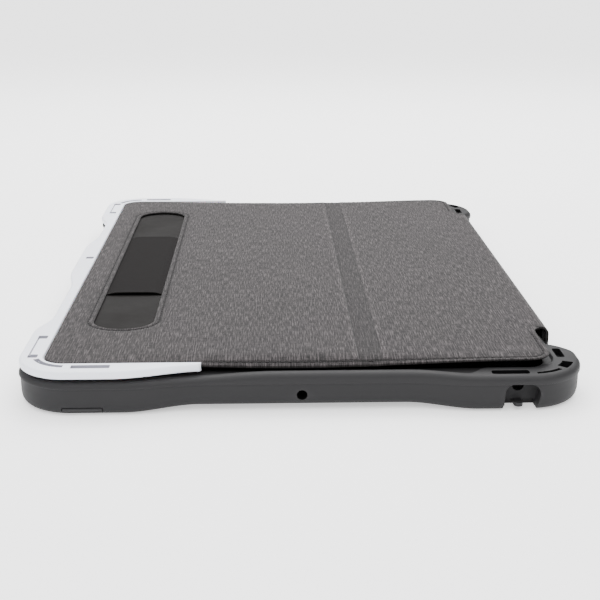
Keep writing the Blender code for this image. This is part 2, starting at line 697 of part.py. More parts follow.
def make_keys():
    """Named keys are nodes of their own, and the plain keys of each row are one node."""
    openings = []
    for number, (x, keys) in enumerate(key_rows()):
        plain = [(low, high) for name, low, high in keys if name is None]
        if plain:
            centre = (plain[0][0] + plain[-1][1]) / 2
            place(f"keys_row_{number + 1}", key_run(x, plain), "key", (x[0], centre, KEY_TOP))
            openings += [(x, span) for span in plain]
        for name, low, high in keys:
            if name == "arrow_pair":
                singles = split_arrow_pair(x, low, high)
            else:
                singles = [(name, x, low, high)] if name else []
            for single, across, y0, y1 in singles:
                cap = key_cap(across, (y0, y1))
                place(single, cap, "key", (sum(across) / 2, (y0 + y1) / 2, KEY_TOP))
                openings.append((across, (y0, y1)))
    return openings


def make_deck(openings):
    """Key deck: a shallow pan with one opening for each key, closed above by the tray."""
    outer = rounded_rectangle(DECK_X, (-DECK_HALF_Y, DECK_HALF_Y), 2.0, 3)
    deck = place("key_deck", prism_z(outer, DECK_Z[0], DECK_WALL_TOP), "window", FOLD_OUTER_PIVOT)
    x = (DECK_X[0] + DECK_WALL, DECK_X[1] - DECK_WALL)
    hollow = box(x, (-DECK_HALF_Y + DECK_WALL, DECK_HALF_Y - DECK_WALL), (DECK_Z[1], 16.0))
    cut(deck, "cut_deck_hollow", hollow)
    holes = bmesh.new()
    for (x0, x1), (y0, y1) in openings:
        across = (x0 - KEY_CLEARANCE, x1 + KEY_CLEARANCE)
        along = (y0 - KEY_CLEARANCE, y1 + KEY_CLEARANCE)
        hole = box(across, along, (10.0, 13.0))
        scratch = bpy.data.meshes.new("hole")
        hole.to_mesh(scratch)
        hole.free()
        holes.from_mesh(scratch)
        bpy.data.meshes.remove(scratch)
    cut(deck, "cut_key_openings", holes)
    inset = DECK_WALL + GAP
    x = (DECK_X[0] + inset, DECK_X[1] - inset)
    y = (-DECK_HALF_Y + inset, DECK_HALF_Y - inset)
    place("dome_sheet", box(x, y, (13.4, 13.6)), "rubber", FOLD_OUTER_PIVOT)
    place("circuit_board", box(x, y, (13.85, 14.1)), "circuit", FOLD_OUTER_PIVOT)


def make_magnets():
    for side, end in ((-1, "near"), (1, "far")):
        bar = box((-87.4, -83.5), sorted((side * 90.0, side * 110.0)), (12.3, 14.1))
        place(f"closure_magnet_{end}", bar, "steel", FOLD_OUTER_PIVOT)


def main():
    clear_scene()
    bumper = make_bumper()
    fuse(bumper, "jack_tongue", make_jack_tongue())
    make_buttons()
    make_rear_shell()
    make_kickstand()
    make_connector()
    make_spine()
    make_panel()
    make_fold_strip()
    make_tray()
    make_stylus_bay()
    make_keyboard_skin()
    make_deck(make_keys())
    make_magnets()


main()
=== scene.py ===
import json
import math

import bmesh
import bpy
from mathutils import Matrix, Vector
from mathutils.geometry import delaunay_2d_cdt


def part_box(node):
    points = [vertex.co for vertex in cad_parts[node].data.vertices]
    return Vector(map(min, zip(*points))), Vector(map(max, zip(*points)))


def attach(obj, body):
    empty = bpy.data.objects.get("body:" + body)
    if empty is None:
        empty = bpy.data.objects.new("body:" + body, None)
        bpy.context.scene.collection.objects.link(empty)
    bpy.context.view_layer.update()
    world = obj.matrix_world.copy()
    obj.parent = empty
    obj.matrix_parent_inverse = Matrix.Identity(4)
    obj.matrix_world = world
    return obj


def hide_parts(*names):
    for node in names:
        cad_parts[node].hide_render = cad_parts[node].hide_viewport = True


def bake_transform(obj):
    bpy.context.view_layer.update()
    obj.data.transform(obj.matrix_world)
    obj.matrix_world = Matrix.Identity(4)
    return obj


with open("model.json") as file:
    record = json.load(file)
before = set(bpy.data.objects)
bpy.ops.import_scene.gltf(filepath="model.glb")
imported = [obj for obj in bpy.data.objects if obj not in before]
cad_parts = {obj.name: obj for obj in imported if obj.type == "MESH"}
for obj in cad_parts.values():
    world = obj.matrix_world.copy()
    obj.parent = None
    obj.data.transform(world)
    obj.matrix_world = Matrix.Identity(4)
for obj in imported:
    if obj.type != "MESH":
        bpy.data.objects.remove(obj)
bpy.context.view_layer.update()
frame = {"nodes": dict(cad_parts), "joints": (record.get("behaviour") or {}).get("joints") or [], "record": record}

# Lengths are millimetres unless a name says otherwise; MM turns them into metres.
MM = 0.001


def node_box(node):
    """Lowest and highest corner of a CAD node, in millimetres."""
    low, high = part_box(node)
    return low / MM, high / MM


# ---- places read from the frame ----
BUMPER_HIGH = node_box("bumper")[1]
TRAY_LOW, TRAY_HIGH = node_box("keyboard_tray")
KEY_SKIN_LOW, KEY_SKIN_HIGH = node_box("keyboard_skin")
SPINE_HIGH = node_box("spine_skin")[1]
BAND_LOW, BAND_HIGH = node_box("elastic_band")
PAN_LOW, PAN_HIGH = node_box("stylus_pan")
JOINT = {j["name"]: j for j in frame["joints"]}
FOLD_OUTER_X = JOINT["fold_outer"]["pos_m"][0] / MM
FOLD_INNER_X = JOINT["fold_inner"]["pos_m"][0] / MM
SPINE_TOP_X = JOINT["spine_top"]["pos_m"][0] / MM
COVER_TOP = JOINT["spine_top"]["pos_m"][2] / MM
SPINE_LOW_Z = JOINT["spine_low"]["pos_m"][2] / MM

# ---- bumper: the CAD model's own dimensions ----
CORNER_PUSH = (5.2, 3.0)
HALF_X = BUMPER_HIGH.x - CORNER_PUSH[0]
HALF_Y = BUMPER_HIGH.y - CORNER_PUSH[1]
BUMPER_RADIUS = 20.0
SPINE_RECESS = 2.5
RIM_TOP = BUMPER_HIGH.z
RIM_LEFT_DROP = 1.6
RIM_RIGHT_DROP = 0.6
RIM_SPINE_DROP = 0.5
SIDE_LIFT = 1.5
LIP_BOTTOM = 10.95
LIP_TOP = 11.6
FLANGE_TOP = 2.9
CAVITY_HALF = (87.35, 125.6)
CAVITY_RADIUS = 9.0
LIP_HALF = (84.5, 122.8)
FLANGE_HALF = (84.8, 123.1)
RIM_INSET = 3.6
RIM_CORNER_INSET = 9.3
JACK_X = (68.3, 80.3)
JACK_TOP = 9.5
JACK_WALL_Y = -128.7
JACK_WALL_BOTTOM = 2.5
JACK_HOLE = (73.4, 7.6, 2.1)
TONGUE_X = (71.7, 74.7)
TONGUE_Z = (1.3, 2.6)
TONGUE_TIP_Y = -133.0
POWER_X = (-80.5, -66.5)
POWER_Z = (0.9, 3.0)
POWER_STEM_TOP = 5.25
POWER_FACE_Y = -131.9
RIB_BOTTOM = 10.4
RIB_STRAIGHT_X = (64.0, 76.8)
RIB_STRAIGHT_Y = (128.2, 131.6)
RIB_CENTRE = (77.5, 114.5)
RIB_THIN = (15.7, 17.2)
RIB_WIDE = (13.9, 17.6)
RIB_SIDE_X = (89.5, 92.4)
RIB_SIDE_Y = (107.0, 115.8)

# ---- bumper: finer than the CAD model ----
RIM_ROUND = (2.2, 1.75)
CORNER_BLOCK_Y = (98, 110)
RIB_TOP = 15.0
CHARGING_PORT = ((-8.0, 8.0), (3.6, 9.0), 2.0)
SPEAKER_X = (-34.0, 34.0)
SPEAKER_HALF = 13
SPEAKER_Z = (4.6, 8.0)
CONNECTOR_PORT = ((-11.0, 11.0), (4.5, 8.7), 0.8)
MICROPHONE = (0, 5.5, 1.8)
BUTTON_GAP = 0.35

# ---- cover: the CAD model's dimensions, with a rounder corner and a sagging hem ----
FABRIC_HALF_Y = KEY_SKIN_HIGH.y
FABRIC_LEFT = KEY_SKIN_LOW.x
FABRIC_RADIUS = 8.0
NOTCH_X = 86.0
NOTCH_Y = 96.0
SPINE_HALF_Y = SPINE_HIGH.y
CLOTH = COVER_TOP - KEY_SKIN_LOW.z
STRIP_MIDDLE = (FOLD_OUTER_X + FOLD_INNER_X) / 2
SEAM_X = 87.0
WINDOW_X = (BAND_LOW.x + BAND_HIGH.x) / 2
WINDOW_HALF_WIDTH = 11.2
WINDOW_Y = (PAN_LOW.y + 3.7, PAN_HIGH.y - 3.7)
WINDOW_END_DEPTH = 10.0
STITCH_INSET = 2.0
STITCH_PITCH = 2.5
STITCH_LENGTH = 1.8
HEM_SAG = 2.1
HEM_START = 119.0
SAG_HALF_LENGTH = 80.0

# ---- white frame: the CAD model's own dimensions ----
GAP = 0.3
FRAME_WAIST = 92.4
FRAME_CORNER_STEP = -TRAY_LOW.x - FRAME_WAIST
FRAME_MIDDLE_STEP = 3.3
FRAME_MIDDLE_Y = 8.0
FRAME_HALF_Y = TRAY_HIGH.y
FRAME_RADIUS = 18.0
FRAME_BEND = (-78.7, 116.3)
FRAME_Z = (TRAY_LOW.z, TRAY_HIGH.z)
ARM_TIP_X = -34.0
ARM_TIP_HALF_Y = 127.3
PLATE_HALF_Y = 121.5
TRAY_PLATE = (14.4, 14.95)

# ---- white frame: finer than the CAD model ----
ARM_TIP_ROUND = 0.9
SLOT_DEPTH = 1.9
SLOT_X = (-77.3, -64.2)
SLOT_Y = (127.9, 130.9)
SLOT_BEND = (11.6, 13.6)
SLOT_BEND_SPAN = (96, 156)
NOTCH_PAIRS = ((-118.5, -98.8), (98.8, 118.5))
MIDDLE_NOTCH = 9.5
GROOVE_DEPTH = 0.4
ABOVE_FRAME = 17.0

# ---- how finely the cloth is drawn ----
CLOTH_SHARP = 50
CLOTH_GRID = 3.2
EDGE_SPACING = 3.0
LAMINATE = 0.16
CREASE_OFFSETS = (-1.2, -0.7, -0.35, 0.0, 0.35, 0.7, 1.2)
CREASE_STOP = 3.2

# ---- stage ----
FLOOR_Z_M = -0.0002
FLOOR_GLOW = 0.7
WORLD_GLOW = 0.75


# ==== helpers
def smoothstep(value, low, high):
    t = min(max((value - low) / (high - low), 0.0), 1.0)
    return t * t * (3.0 - 2.0 * t)


def bell(distance, width):
    return math.exp(-(distance / width) ** 2)


def arc(cx, cy, radius, start, end, steps):
    points = []
    for i in range(steps + 1):
        angle = math.radians(start + (end - start) * i / steps)
        points.append((cx + radius * math.cos(angle), cy + radius * math.sin(angle)))
    return points


def circle(cx, cy, radius, steps=32):
    half_step = 180.0 / steps
    return arc(cx, cy, radius, half_step, 360.0 - half_step, steps - 1)


def rounded_rectangle(x, y, radius, steps=6):
    x0, x1 = x
    y0, y1 = y
    outline = arc(x1 - radius, y0 + radius, radius, -90, 0, steps)
    outline += arc(x1 - radius, y1 - radius, radius, 0, 90, steps)
    outline += arc(x0 + radius, y1 - radius, radius, 90, 180, steps)
    outline += arc(x0 + radius, y0 + radius, radius, 180, 270, steps)
    return outline


def steps_between(low, high, count):
    return [low + (high - low) * i / count for i in range(count + 1)]


def add_mesh(name, bm, material, sharp=35.0):
    """Object from a bmesh in millimetres, smooth but for edges sharper than the given angle."""
    bmesh.ops.recalc_face_normals(bm, faces=bm.faces)
    for vert in bm.verts:
        vert.co *= MM
    mesh = bpy.data.meshes.new(name)
    bm.to_mesh(mesh)
    bm.free()
    mesh.shade_smooth()
    mesh.set_sharp_from_angle(angle=math.radians(sharp))
    mesh.materials.append(material)
    made = bpy.data.objects.new(name, mesh)
    bpy.context.scene.collection.objects.link(made)
    return made


def loft(rings, closed=False, into=None):
    bm = into or bmesh.new()
    loops = [[bm.verts.new(point) for point in ring] for ring in rings]
    count = len(rings[0])
    pairs = list(zip(loops, loops[1:]))
    if closed:
        pairs.append((loops[-1], loops[0]))
    for low, high in pairs:
        for i in range(count):
            j = (i + 1) % count
            bm.faces.new((low[i], low[j], high[j], high[i]))
    if not closed:
        bm.faces.new(list(reversed(loops[0])))
        bm.faces.new(loops[-1])
    return bm


def prism_z(outline, low, high, into=None):
    return loft([[(x, y, z) for x, y in outline] for z in (low, high)], into=into)


def prism_y(profile, low, high, into=None):
    return loft([[(x, y, z) for x, z in profile] for y in (low, high)], into=into)


def prism_x(profile, low, high, into=None):
    return loft([[(x, y, z) for y, z in profile] for x in (low, high)], into=into)


def apply_boolean(target, bm, operation="DIFFERENCE", inside=None):
    """Cut or join once, and leave no modifier or cutter behind; inside is the material for the cut faces, here
    darker copies that paint shade into the cuts.
    """
    other = add_mesh("scratch_cutter", bm, target.data.materials[0])
    if inside:
        target.data.materials.append(inside)
        other.data.materials.append(inside)
        for face in other.data.polygons:
            face.material_index = 1
    change = target.modifiers.new("boolean", "BOOLEAN")
    change.object = other
    change.operation = operation
    change.solver = "EXACT"
    change.use_self = True
    graph = bpy.context.evaluated_depsgraph_get()
    result = bpy.data.meshes.new_from_object(target.evaluated_get(graph))
    target.modifiers.clear()
    result.validate()
    target.data = result
    bpy.data.objects.remove(other, do_unlink=True)
    target.data.shade_smooth()
    target.data.set_sharp_from_angle(angle=math.radians(30))


# ==== materials
def new_material(name, roughness, metallic=0.0, **sockets):
    """Principled material; constant values are set on the shader's own sockets."""
    made = bpy.data.materials.new(name)
    made.use_nodes = True
    shader = made.node_tree.nodes["Principled BSDF"]
    shader.inputs["Roughness"].default_value = roughness
    shader.inputs["Metallic"].default_value = metallic
    for socket, value in sockets.items():
        shader.inputs[socket.replace("_", " ")].default_value = value
    return made, made.node_tree, shader


def coordinates(tree, uv=None, scale=(1.0, 1.0, 1.0)):
    """Texture coordinates in millimetres, from a UV map or from the object itself."""
    if uv:
        source = tree.nodes.new("ShaderNodeUVMap")
        source.uv_map = uv
        output = source.outputs["UV"]
    else:
        source = tree.nodes.new("ShaderNodeTexCoord")
        output = source.outputs["Object"]
    mapping = tree.nodes.new("ShaderNodeMapping")
    factor = 1.0 if uv else 1.0 / MM
    mapping.inputs["Scale"].default_value = [s * factor for s in scale]
    tree.links.new(output, mapping.inputs["Vector"])
    return mapping.outputs["Vector"]


def noise(tree, vector, scale=1.0, detail=2.0, roughness=0.5):
    node = tree.nodes.new("ShaderNodeTexNoise")
    node.inputs["Scale"].default_value = scale
    node.inputs["Detail"].default_value = detail
    node.inputs["Roughness"].default_value = roughness
    tree.links.new(vector, node.inputs["Vector"])
    return node.outputs["Fac"]


def ramp(tree, value, stops):
    """Colour ramp; a stop is (place, grey or colour)."""
    node = tree.nodes.new("ShaderNodeValToRGB")
    elements = node.color_ramp.elements
    while len(elements) < len(stops):
        elements.new(0.5)
    for element, (place, colour) in zip(elements, stops):
        element.position = place
        if isinstance(colour, (int, float)):
            colour = (colour, colour, colour)
        element.color = (*colour, 1.0)
    tree.links.new(value, node.inputs["Fac"])
    return node.outputs["Color"]


def mix(tree, factor, first, second, mode="MIX"):
    node = tree.nodes.new("ShaderNodeMix")
    node.data_type = "RGBA"
    node.blend_type = mode
    for socket, value in ((node.inputs["Factor"], factor), (node.inputs[6], first), (node.inputs[7], second)):
        if isinstance(value, bpy.types.NodeSocket):
            tree.links.new(value, socket)
        elif isinstance(value, (int, float)):
            socket.default_value = value
        else:
            socket.default_value = (*value, 1.0)
    return node.outputs[2]


def math_node(tree, operation, first, second=0.0):
    node = tree.nodes.new("ShaderNodeMath")
    node.operation = operation
    for socket, value in zip(node.inputs, (first, second)):
        if isinstance(value, bpy.types.NodeSocket):
            tree.links.new(value, socket)
        else:
            socket.default_value = value
    return node.outputs[0]


def add_bump(tree, shader, height, strength, distance_mm):
    node = tree.nodes.new("ShaderNodeBump")
    node.inputs["Strength"].default_value = strength
    node.inputs["Distance"].default_value = distance_mm * MM
    tree.links.new(height, node.inputs["Height"])
    tree.links.new(node.outputs["Normal"], shader.inputs["Normal"])


def waves(tree, vector, direction, pitch):
    """Sine ridges across one axis, with the given pitch in millimetres."""
    node = tree.nodes.new("ShaderNodeTexWave")
    node.wave_type = "BANDS"
    node.bands_direction = direction
    node.inputs["Scale"].default_value = 2 * math.pi / 20.0 / pitch
    tree.links.new(vector, node.inputs["Vector"])
    return node.outputs["Fac"]


def fabric_material(name, dark, light, uv="weave", streak=1.0):
    """Heather cloth: long light slubs along the warp, a plain weave and slow mottling."""
    made, tree, shader = new_material(name, 0.92, Sheen_Weight=0.12, Sheen_Roughness=0.45,
                                       Specular_IOR_Level=0.2)
    plain = coordinates(tree, uv)
    along = noise(tree, coordinates(tree, uv, (2.5, 0.17, 1.0)), 1.0, 3.0, 0.65)
    across = noise(tree, coordinates(tree, uv, (0.25, 1.9, 1.0)), 1.0, 3.0, 0.6)
    cloud = noise(tree, coordinates(tree, uv, (0.03, 0.02, 1.0)), 1.0, 2.0, 0.5)
    slubs = ramp(tree, along, [(0.46, 0.0), (0.57, 0.45), (0.67, 1.0)])
    weft = ramp(tree, across, [(0.45, 0.0), (0.70, 1.0)])
    ridges = math_node(tree, "MULTIPLY", waves(tree, plain, "X", 0.9), waves(tree, plain, "Y", 0.8))
    base = mix(tree, slubs, dark, light)
    base = mix(tree, math_node(tree, "MULTIPLY", weft, 0.35 * streak), base, light)
    shade = ramp(tree, cloud, [(0.3, 0.88), (0.7, 1.0)])
    base = mix(tree, 1.0, base, shade, "MULTIPLY")
    # A per-vertex attribute multiplies the colour: darker at bound edges, painted shade in the folds, stitched
    # grooves and gathers, and a painted highlight on the ridges beside the fold lines.
    if uv:
        cloth_tone_and_painted_light = tree.nodes.new("ShaderNodeAttribute")
        cloth_tone_and_painted_light.attribute_name = "cloth_tone_and_painted_light"
        base = mix(tree, 1.0, base, cloth_tone_and_painted_light.outputs["Color"], "MULTIPLY")
    weave_shade = ramp(tree, ridges, [(0.0, 0.62), (0.6, 1.08)])
    base = mix(tree, 0.7, base, weave_shade, "MULTIPLY")
    tree.links.new(base, shader.inputs["Base Color"])
    height = math_node(tree, "ADD", ridges, math_node(tree, "MULTIPLY", along, 0.8))
    add_bump(tree, shader, height, 0.55, 0.16)
    return made


def moulded_material(name, colour, roughness, grain=0.05, speck=0.10, wear=0.0, **sockets):
    """Moulded plastic or rubber: fine spark-erosion grain, faint clouding and rubbed high spots."""
    made, tree, shader = new_material(name, roughness, **sockets)
    place = coordinates(tree)
    fine = noise(tree, place, 2.6, 2.0, 0.6)
    cloud = noise(tree, place, 0.05, 3.0, 0.55)
    lighter = tuple(min(c * (1.0 + speck), 1.0) for c in colour)
    darker = tuple(c * (1.0 - speck) for c in colour)
    base = mix(tree, cloud, darker, lighter)
    if wear:
        geometry = tree.nodes.new("ShaderNodeNewGeometry")
        edges = ramp(tree, geometry.outputs["Pointiness"], [(0.52, 0.0), (0.62, wear)])
        rubbed = tuple(min(c * 2.2 + 0.02, 1.0) for c in colour)
        base = mix(tree, edges, base, rubbed)
    tree.links.new(base, shader.inputs["Base Color"])
    rough = ramp(tree, cloud, [(0.25, roughness - 0.06), (0.75, roughness + 0.08)])
    tree.links.new(rough, shader.inputs["Roughness"])
    add_bump(tree, shader, fine, 0.35, grain)
    return made


def webbing_material():
    """Elastic: fine ribs across the band, with crossing threads."""
    made, tree, shader = new_material("elastic_webbing", 0.85, Sheen_Weight=0.01, Sheen_Roughness=0.4,
                                       Specular_IOR_Level=0.08)
    place = coordinates(tree)
    ribs = waves(tree, place, "Y", 0.85)
    threads = waves(tree, place, "X", 0.5)
    fuzz = noise(tree, place, 1.4, 3.0, 0.6)
    weave = math_node(tree, "ADD", ribs, math_node(tree, "MULTIPLY", threads, 0.4))
    base = mix(tree, fuzz, (0.0035, 0.0030, 0.0030), (0.0085, 0.0073, 0.0073))
    base = mix(tree, 0.5, base, ramp(tree, ribs, [(0.0, 0.75), (1.0, 1.1)]), "MULTIPLY")
    tree.links.new(base, shader.inputs["Base Color"])
    add_bump(tree, shader, weave, 0.35, 0.08)
    return made


def metal_material(name, colour, roughness):
    made, tree, shader = new_material(name, roughness, 1.0)
    lines = noise(tree, coordinates(tree, None, (0.2, 6.0, 6.0)), 1.0, 2.0, 0.5)
    darker = tuple(c * 0.8 for c in colour)
    tree.links.new(mix(tree, lines, darker, colour), shader.inputs["Base Color"])
    rough = ramp(tree, lines, [(0.3, roughness - 0.08), (0.7, roughness + 0.1)])
    tree.links.new(rough, shader.inputs["Roughness"])
    add_bump(tree, shader, lines, 0.15, 0.02)
    return made


def circuit_material():
    """Solder mask over a faint grid of tracks."""
    made, tree, shader = new_material("solder_mask", 0.4)
    place = coordinates(tree)
    tracks = math_node(tree, "MULTIPLY", waves(tree, place, "X", 4.2), waves(tree, place, "Y", 5.1))
    base = mix(tree, ramp(tree, tracks, [(0.55, 0.0), (0.6, 1.0)]), (0.02, 0.09, 0.05), (0.04, 0.17, 0.09))
    tree.links.new(base, shader.inputs["Base Color"])
    add_bump(tree, shader, tracks, 0.2, 0.03)
    return made


def thread_material():
    made, tree, shader = new_material("stitch_thread", 0.7, Sheen_Weight=0.05, Sheen_Roughness=0.4,
                                       Specular_IOR_Level=0.15)
    twist = waves(tree, coordinates(tree), "DIAGONAL", 0.5)
    base = mix(tree, twist, (0.004, 0.0035, 0.0035), (0.020, 0.017, 0.018))
    tree.links.new(base, shader.inputs["Base Color"])
    add_bump(tree, shader, twist, 0.4, 0.05)
    return made


FABRIC = fabric_material("heather_fabric", (0.0075, 0.0062, 0.0065), (0.098, 0.086, 0.088))
LINING = fabric_material("microfibre_lining", (0.007, 0.007, 0.0075), (0.012, 0.012, 0.0125), None, 0.3)
EDGE = moulded_material("cloth_edge_binding", (0.004, 0.0037, 0.0037), 0.9, grain=0.1, Specular_IOR_Level=0.1)
# Darker copy of the bumper rubber for the inner faces of its slots and microphone hole: painted shade in the
# recesses.
BUMPER_PAINTED_SHADE = moulded_material("bumper_rubber_painted_shade", (0.0025, 0.0025, 0.0028), 0.8, grain=0.03, Specular_IOR_Level=0.1)
# Darker copy of the white frame plastic for the inner faces of its slots, notches and grooves: painted shade in
# the recesses.
FRAME_PAINTED_SHADE = moulded_material("frame_plastic_painted_shade", (0.36, 0.36, 0.41), 0.6, grain=0.03)
BUMPER = moulded_material("bumper_rubber", (0.0190, 0.0187, 0.0196), 0.55, grain=0.03, wear=0.2,
                          Specular_IOR_Level=0.15)
SHELL = moulded_material("shell_plastic", (0.022, 0.022, 0.0235), 0.5, grain=0.08, Specular_IOR_Level=0.3)
WHITE = moulded_material("frame_plastic", (0.84, 0.85, 0.92), 0.42, grain=0.02, speck=0.02,
                         Subsurface_Weight=0.05)
WINDOW = moulded_material("window_plastic", (0.0046, 0.0038, 0.0035), 0.7, grain=0.02,
                          Specular_IOR_Level=0.12)
KEYCAP = moulded_material("key_plastic", (0.016, 0.016, 0.018), 0.6, grain=0.05, Specular_IOR_Level=0.2)
BOARD = moulded_material("stiffener_board", (0.008, 0.008, 0.0078), 0.85, grain=0.1, Specular_IOR_Level=0.1)
SILICONE = moulded_material("silicone_sheet", (0.035, 0.035, 0.037), 0.8, grain=0.05, Specular_IOR_Level=0.2)
ELASTIC = webbing_material()
STEEL = metal_material("brushed_steel", (0.30, 0.30, 0.31), 0.4)
COPPER = metal_material("flex_copper", (0.55, 0.28, 0.12), 0.4)
GOLD = metal_material("contact_gold", (0.85, 0.62, 0.25), 0.28)
CIRCUIT = circuit_material()
THREAD = thread_material()


# ==== bumper
def corner_weight(x, y):
    return smoothstep(abs(x), 35, 60) * smoothstep(abs(y), 75, 100)


def rim_height(x, y):
    left = smoothstep(-x, 8, 44)
    right = smoothstep(x, 40, 62)
    spine = smoothstep(x, 80, 85) * (1.0 - smoothstep(abs(y), 100, 104))
    return RIM_TOP - RIM_LEFT_DROP * left - RIM_RIGHT_DROP * right - RIM_SPINE_DROP * spine


LONG_STATIONS = steps_between(0, 70, 7) + [73 + 2 * i for i in range(13)] + steps_between(98, 110, 12)
SHORT_STATIONS = steps_between(0, 32, 6) + [33 + 2 * i for i in range(15)] + [63, 66, 69]
CORNER_STEPS = 22


def mirrored_stations(stations):
    return [-s for s in reversed(stations[1:])] + list(stations)


def bumper_loop(half, radius, push, recess):
    """Plan loop; push moves the corners out, and recess draws the right side in beside the spine."""
    hx, hy = half
    px, py = push
    long_side = mirrored_stations(LONG_STATIONS)
    short_side = mirrored_stations(SHORT_STATIONS)

    def corner(side_x, side_y, start):
        turn = arc(side_x * (hx - radius), side_y * (hy - radius), radius, start, start + 82, CORNER_STEPS)
        return [(x + side_x * px, y + side_y * py) for x, y in turn]

    points = []
    for y in long_side:
        block = smoothstep(abs(y), *CORNER_BLOCK_Y)
        points.append((hx + px * block - recess * (1.0 - block), y))
    points += corner(1, 1, 4)
    points += [(x, hy + py * smoothstep(abs(x), 35, 60)) for x in reversed(short_side)]
    points += corner(-1, 1, 94)
    points += [(-hx - px * smoothstep(abs(y), 75, 100), y) for y in reversed(long_side)]
    points += corner(-1, -1, 184)
    points += [(x, -hy - py * smoothstep(abs(x), 35, 60)) for x in short_side]
    points += corner(1, -1, 274)
    return points


def outer_loop(inset):
    return bumper_loop((HALF_X - inset, HALF_Y - inset), BUMPER_RADIUS - inset, CORNER_PUSH, SPINE_RECESS)


def inner_loop(half, radius):
    return bumper_loop(half, radius, (0.0, 0.0), 0.0)


def rim_loop(extra):
    """Inner edge of the rim's top, which is wider at the two right corners."""
    points = []
    narrow, wide = outer_loop(RIM_INSET + extra), outer_loop(RIM_CORNER_INSET + extra)
    for (x, y), (wide_x, wide_y) in zip(narrow, wide):
        weight = smoothstep(x, 56, 63) * smoothstep(abs(y), 100, 104)
        points.append((x + (wide_x - x) * weight, y + (wide_y - y) * weight))
    return points


def jack_arch(grow=0.0):
    """Outline of the headphone recess in X and Z, grown outwards for its softened mouth."""
    left, right = JACK_X[0] - grow, JACK_X[1] + grow
    top = JACK_TOP + grow
    foot = 0.8
    outline = [(left - foot, -2), (right - foot, -2), (right - foot, 1.5)]
    outline += arc(right - 3.6 - grow, top - 3.6 - grow, 3.6 + grow, 0, 90, 12)
    outline += arc(left + 3.0 + grow, top - 3.0 - grow, 3.0 + grow, 90, 180, 12)
    return outline


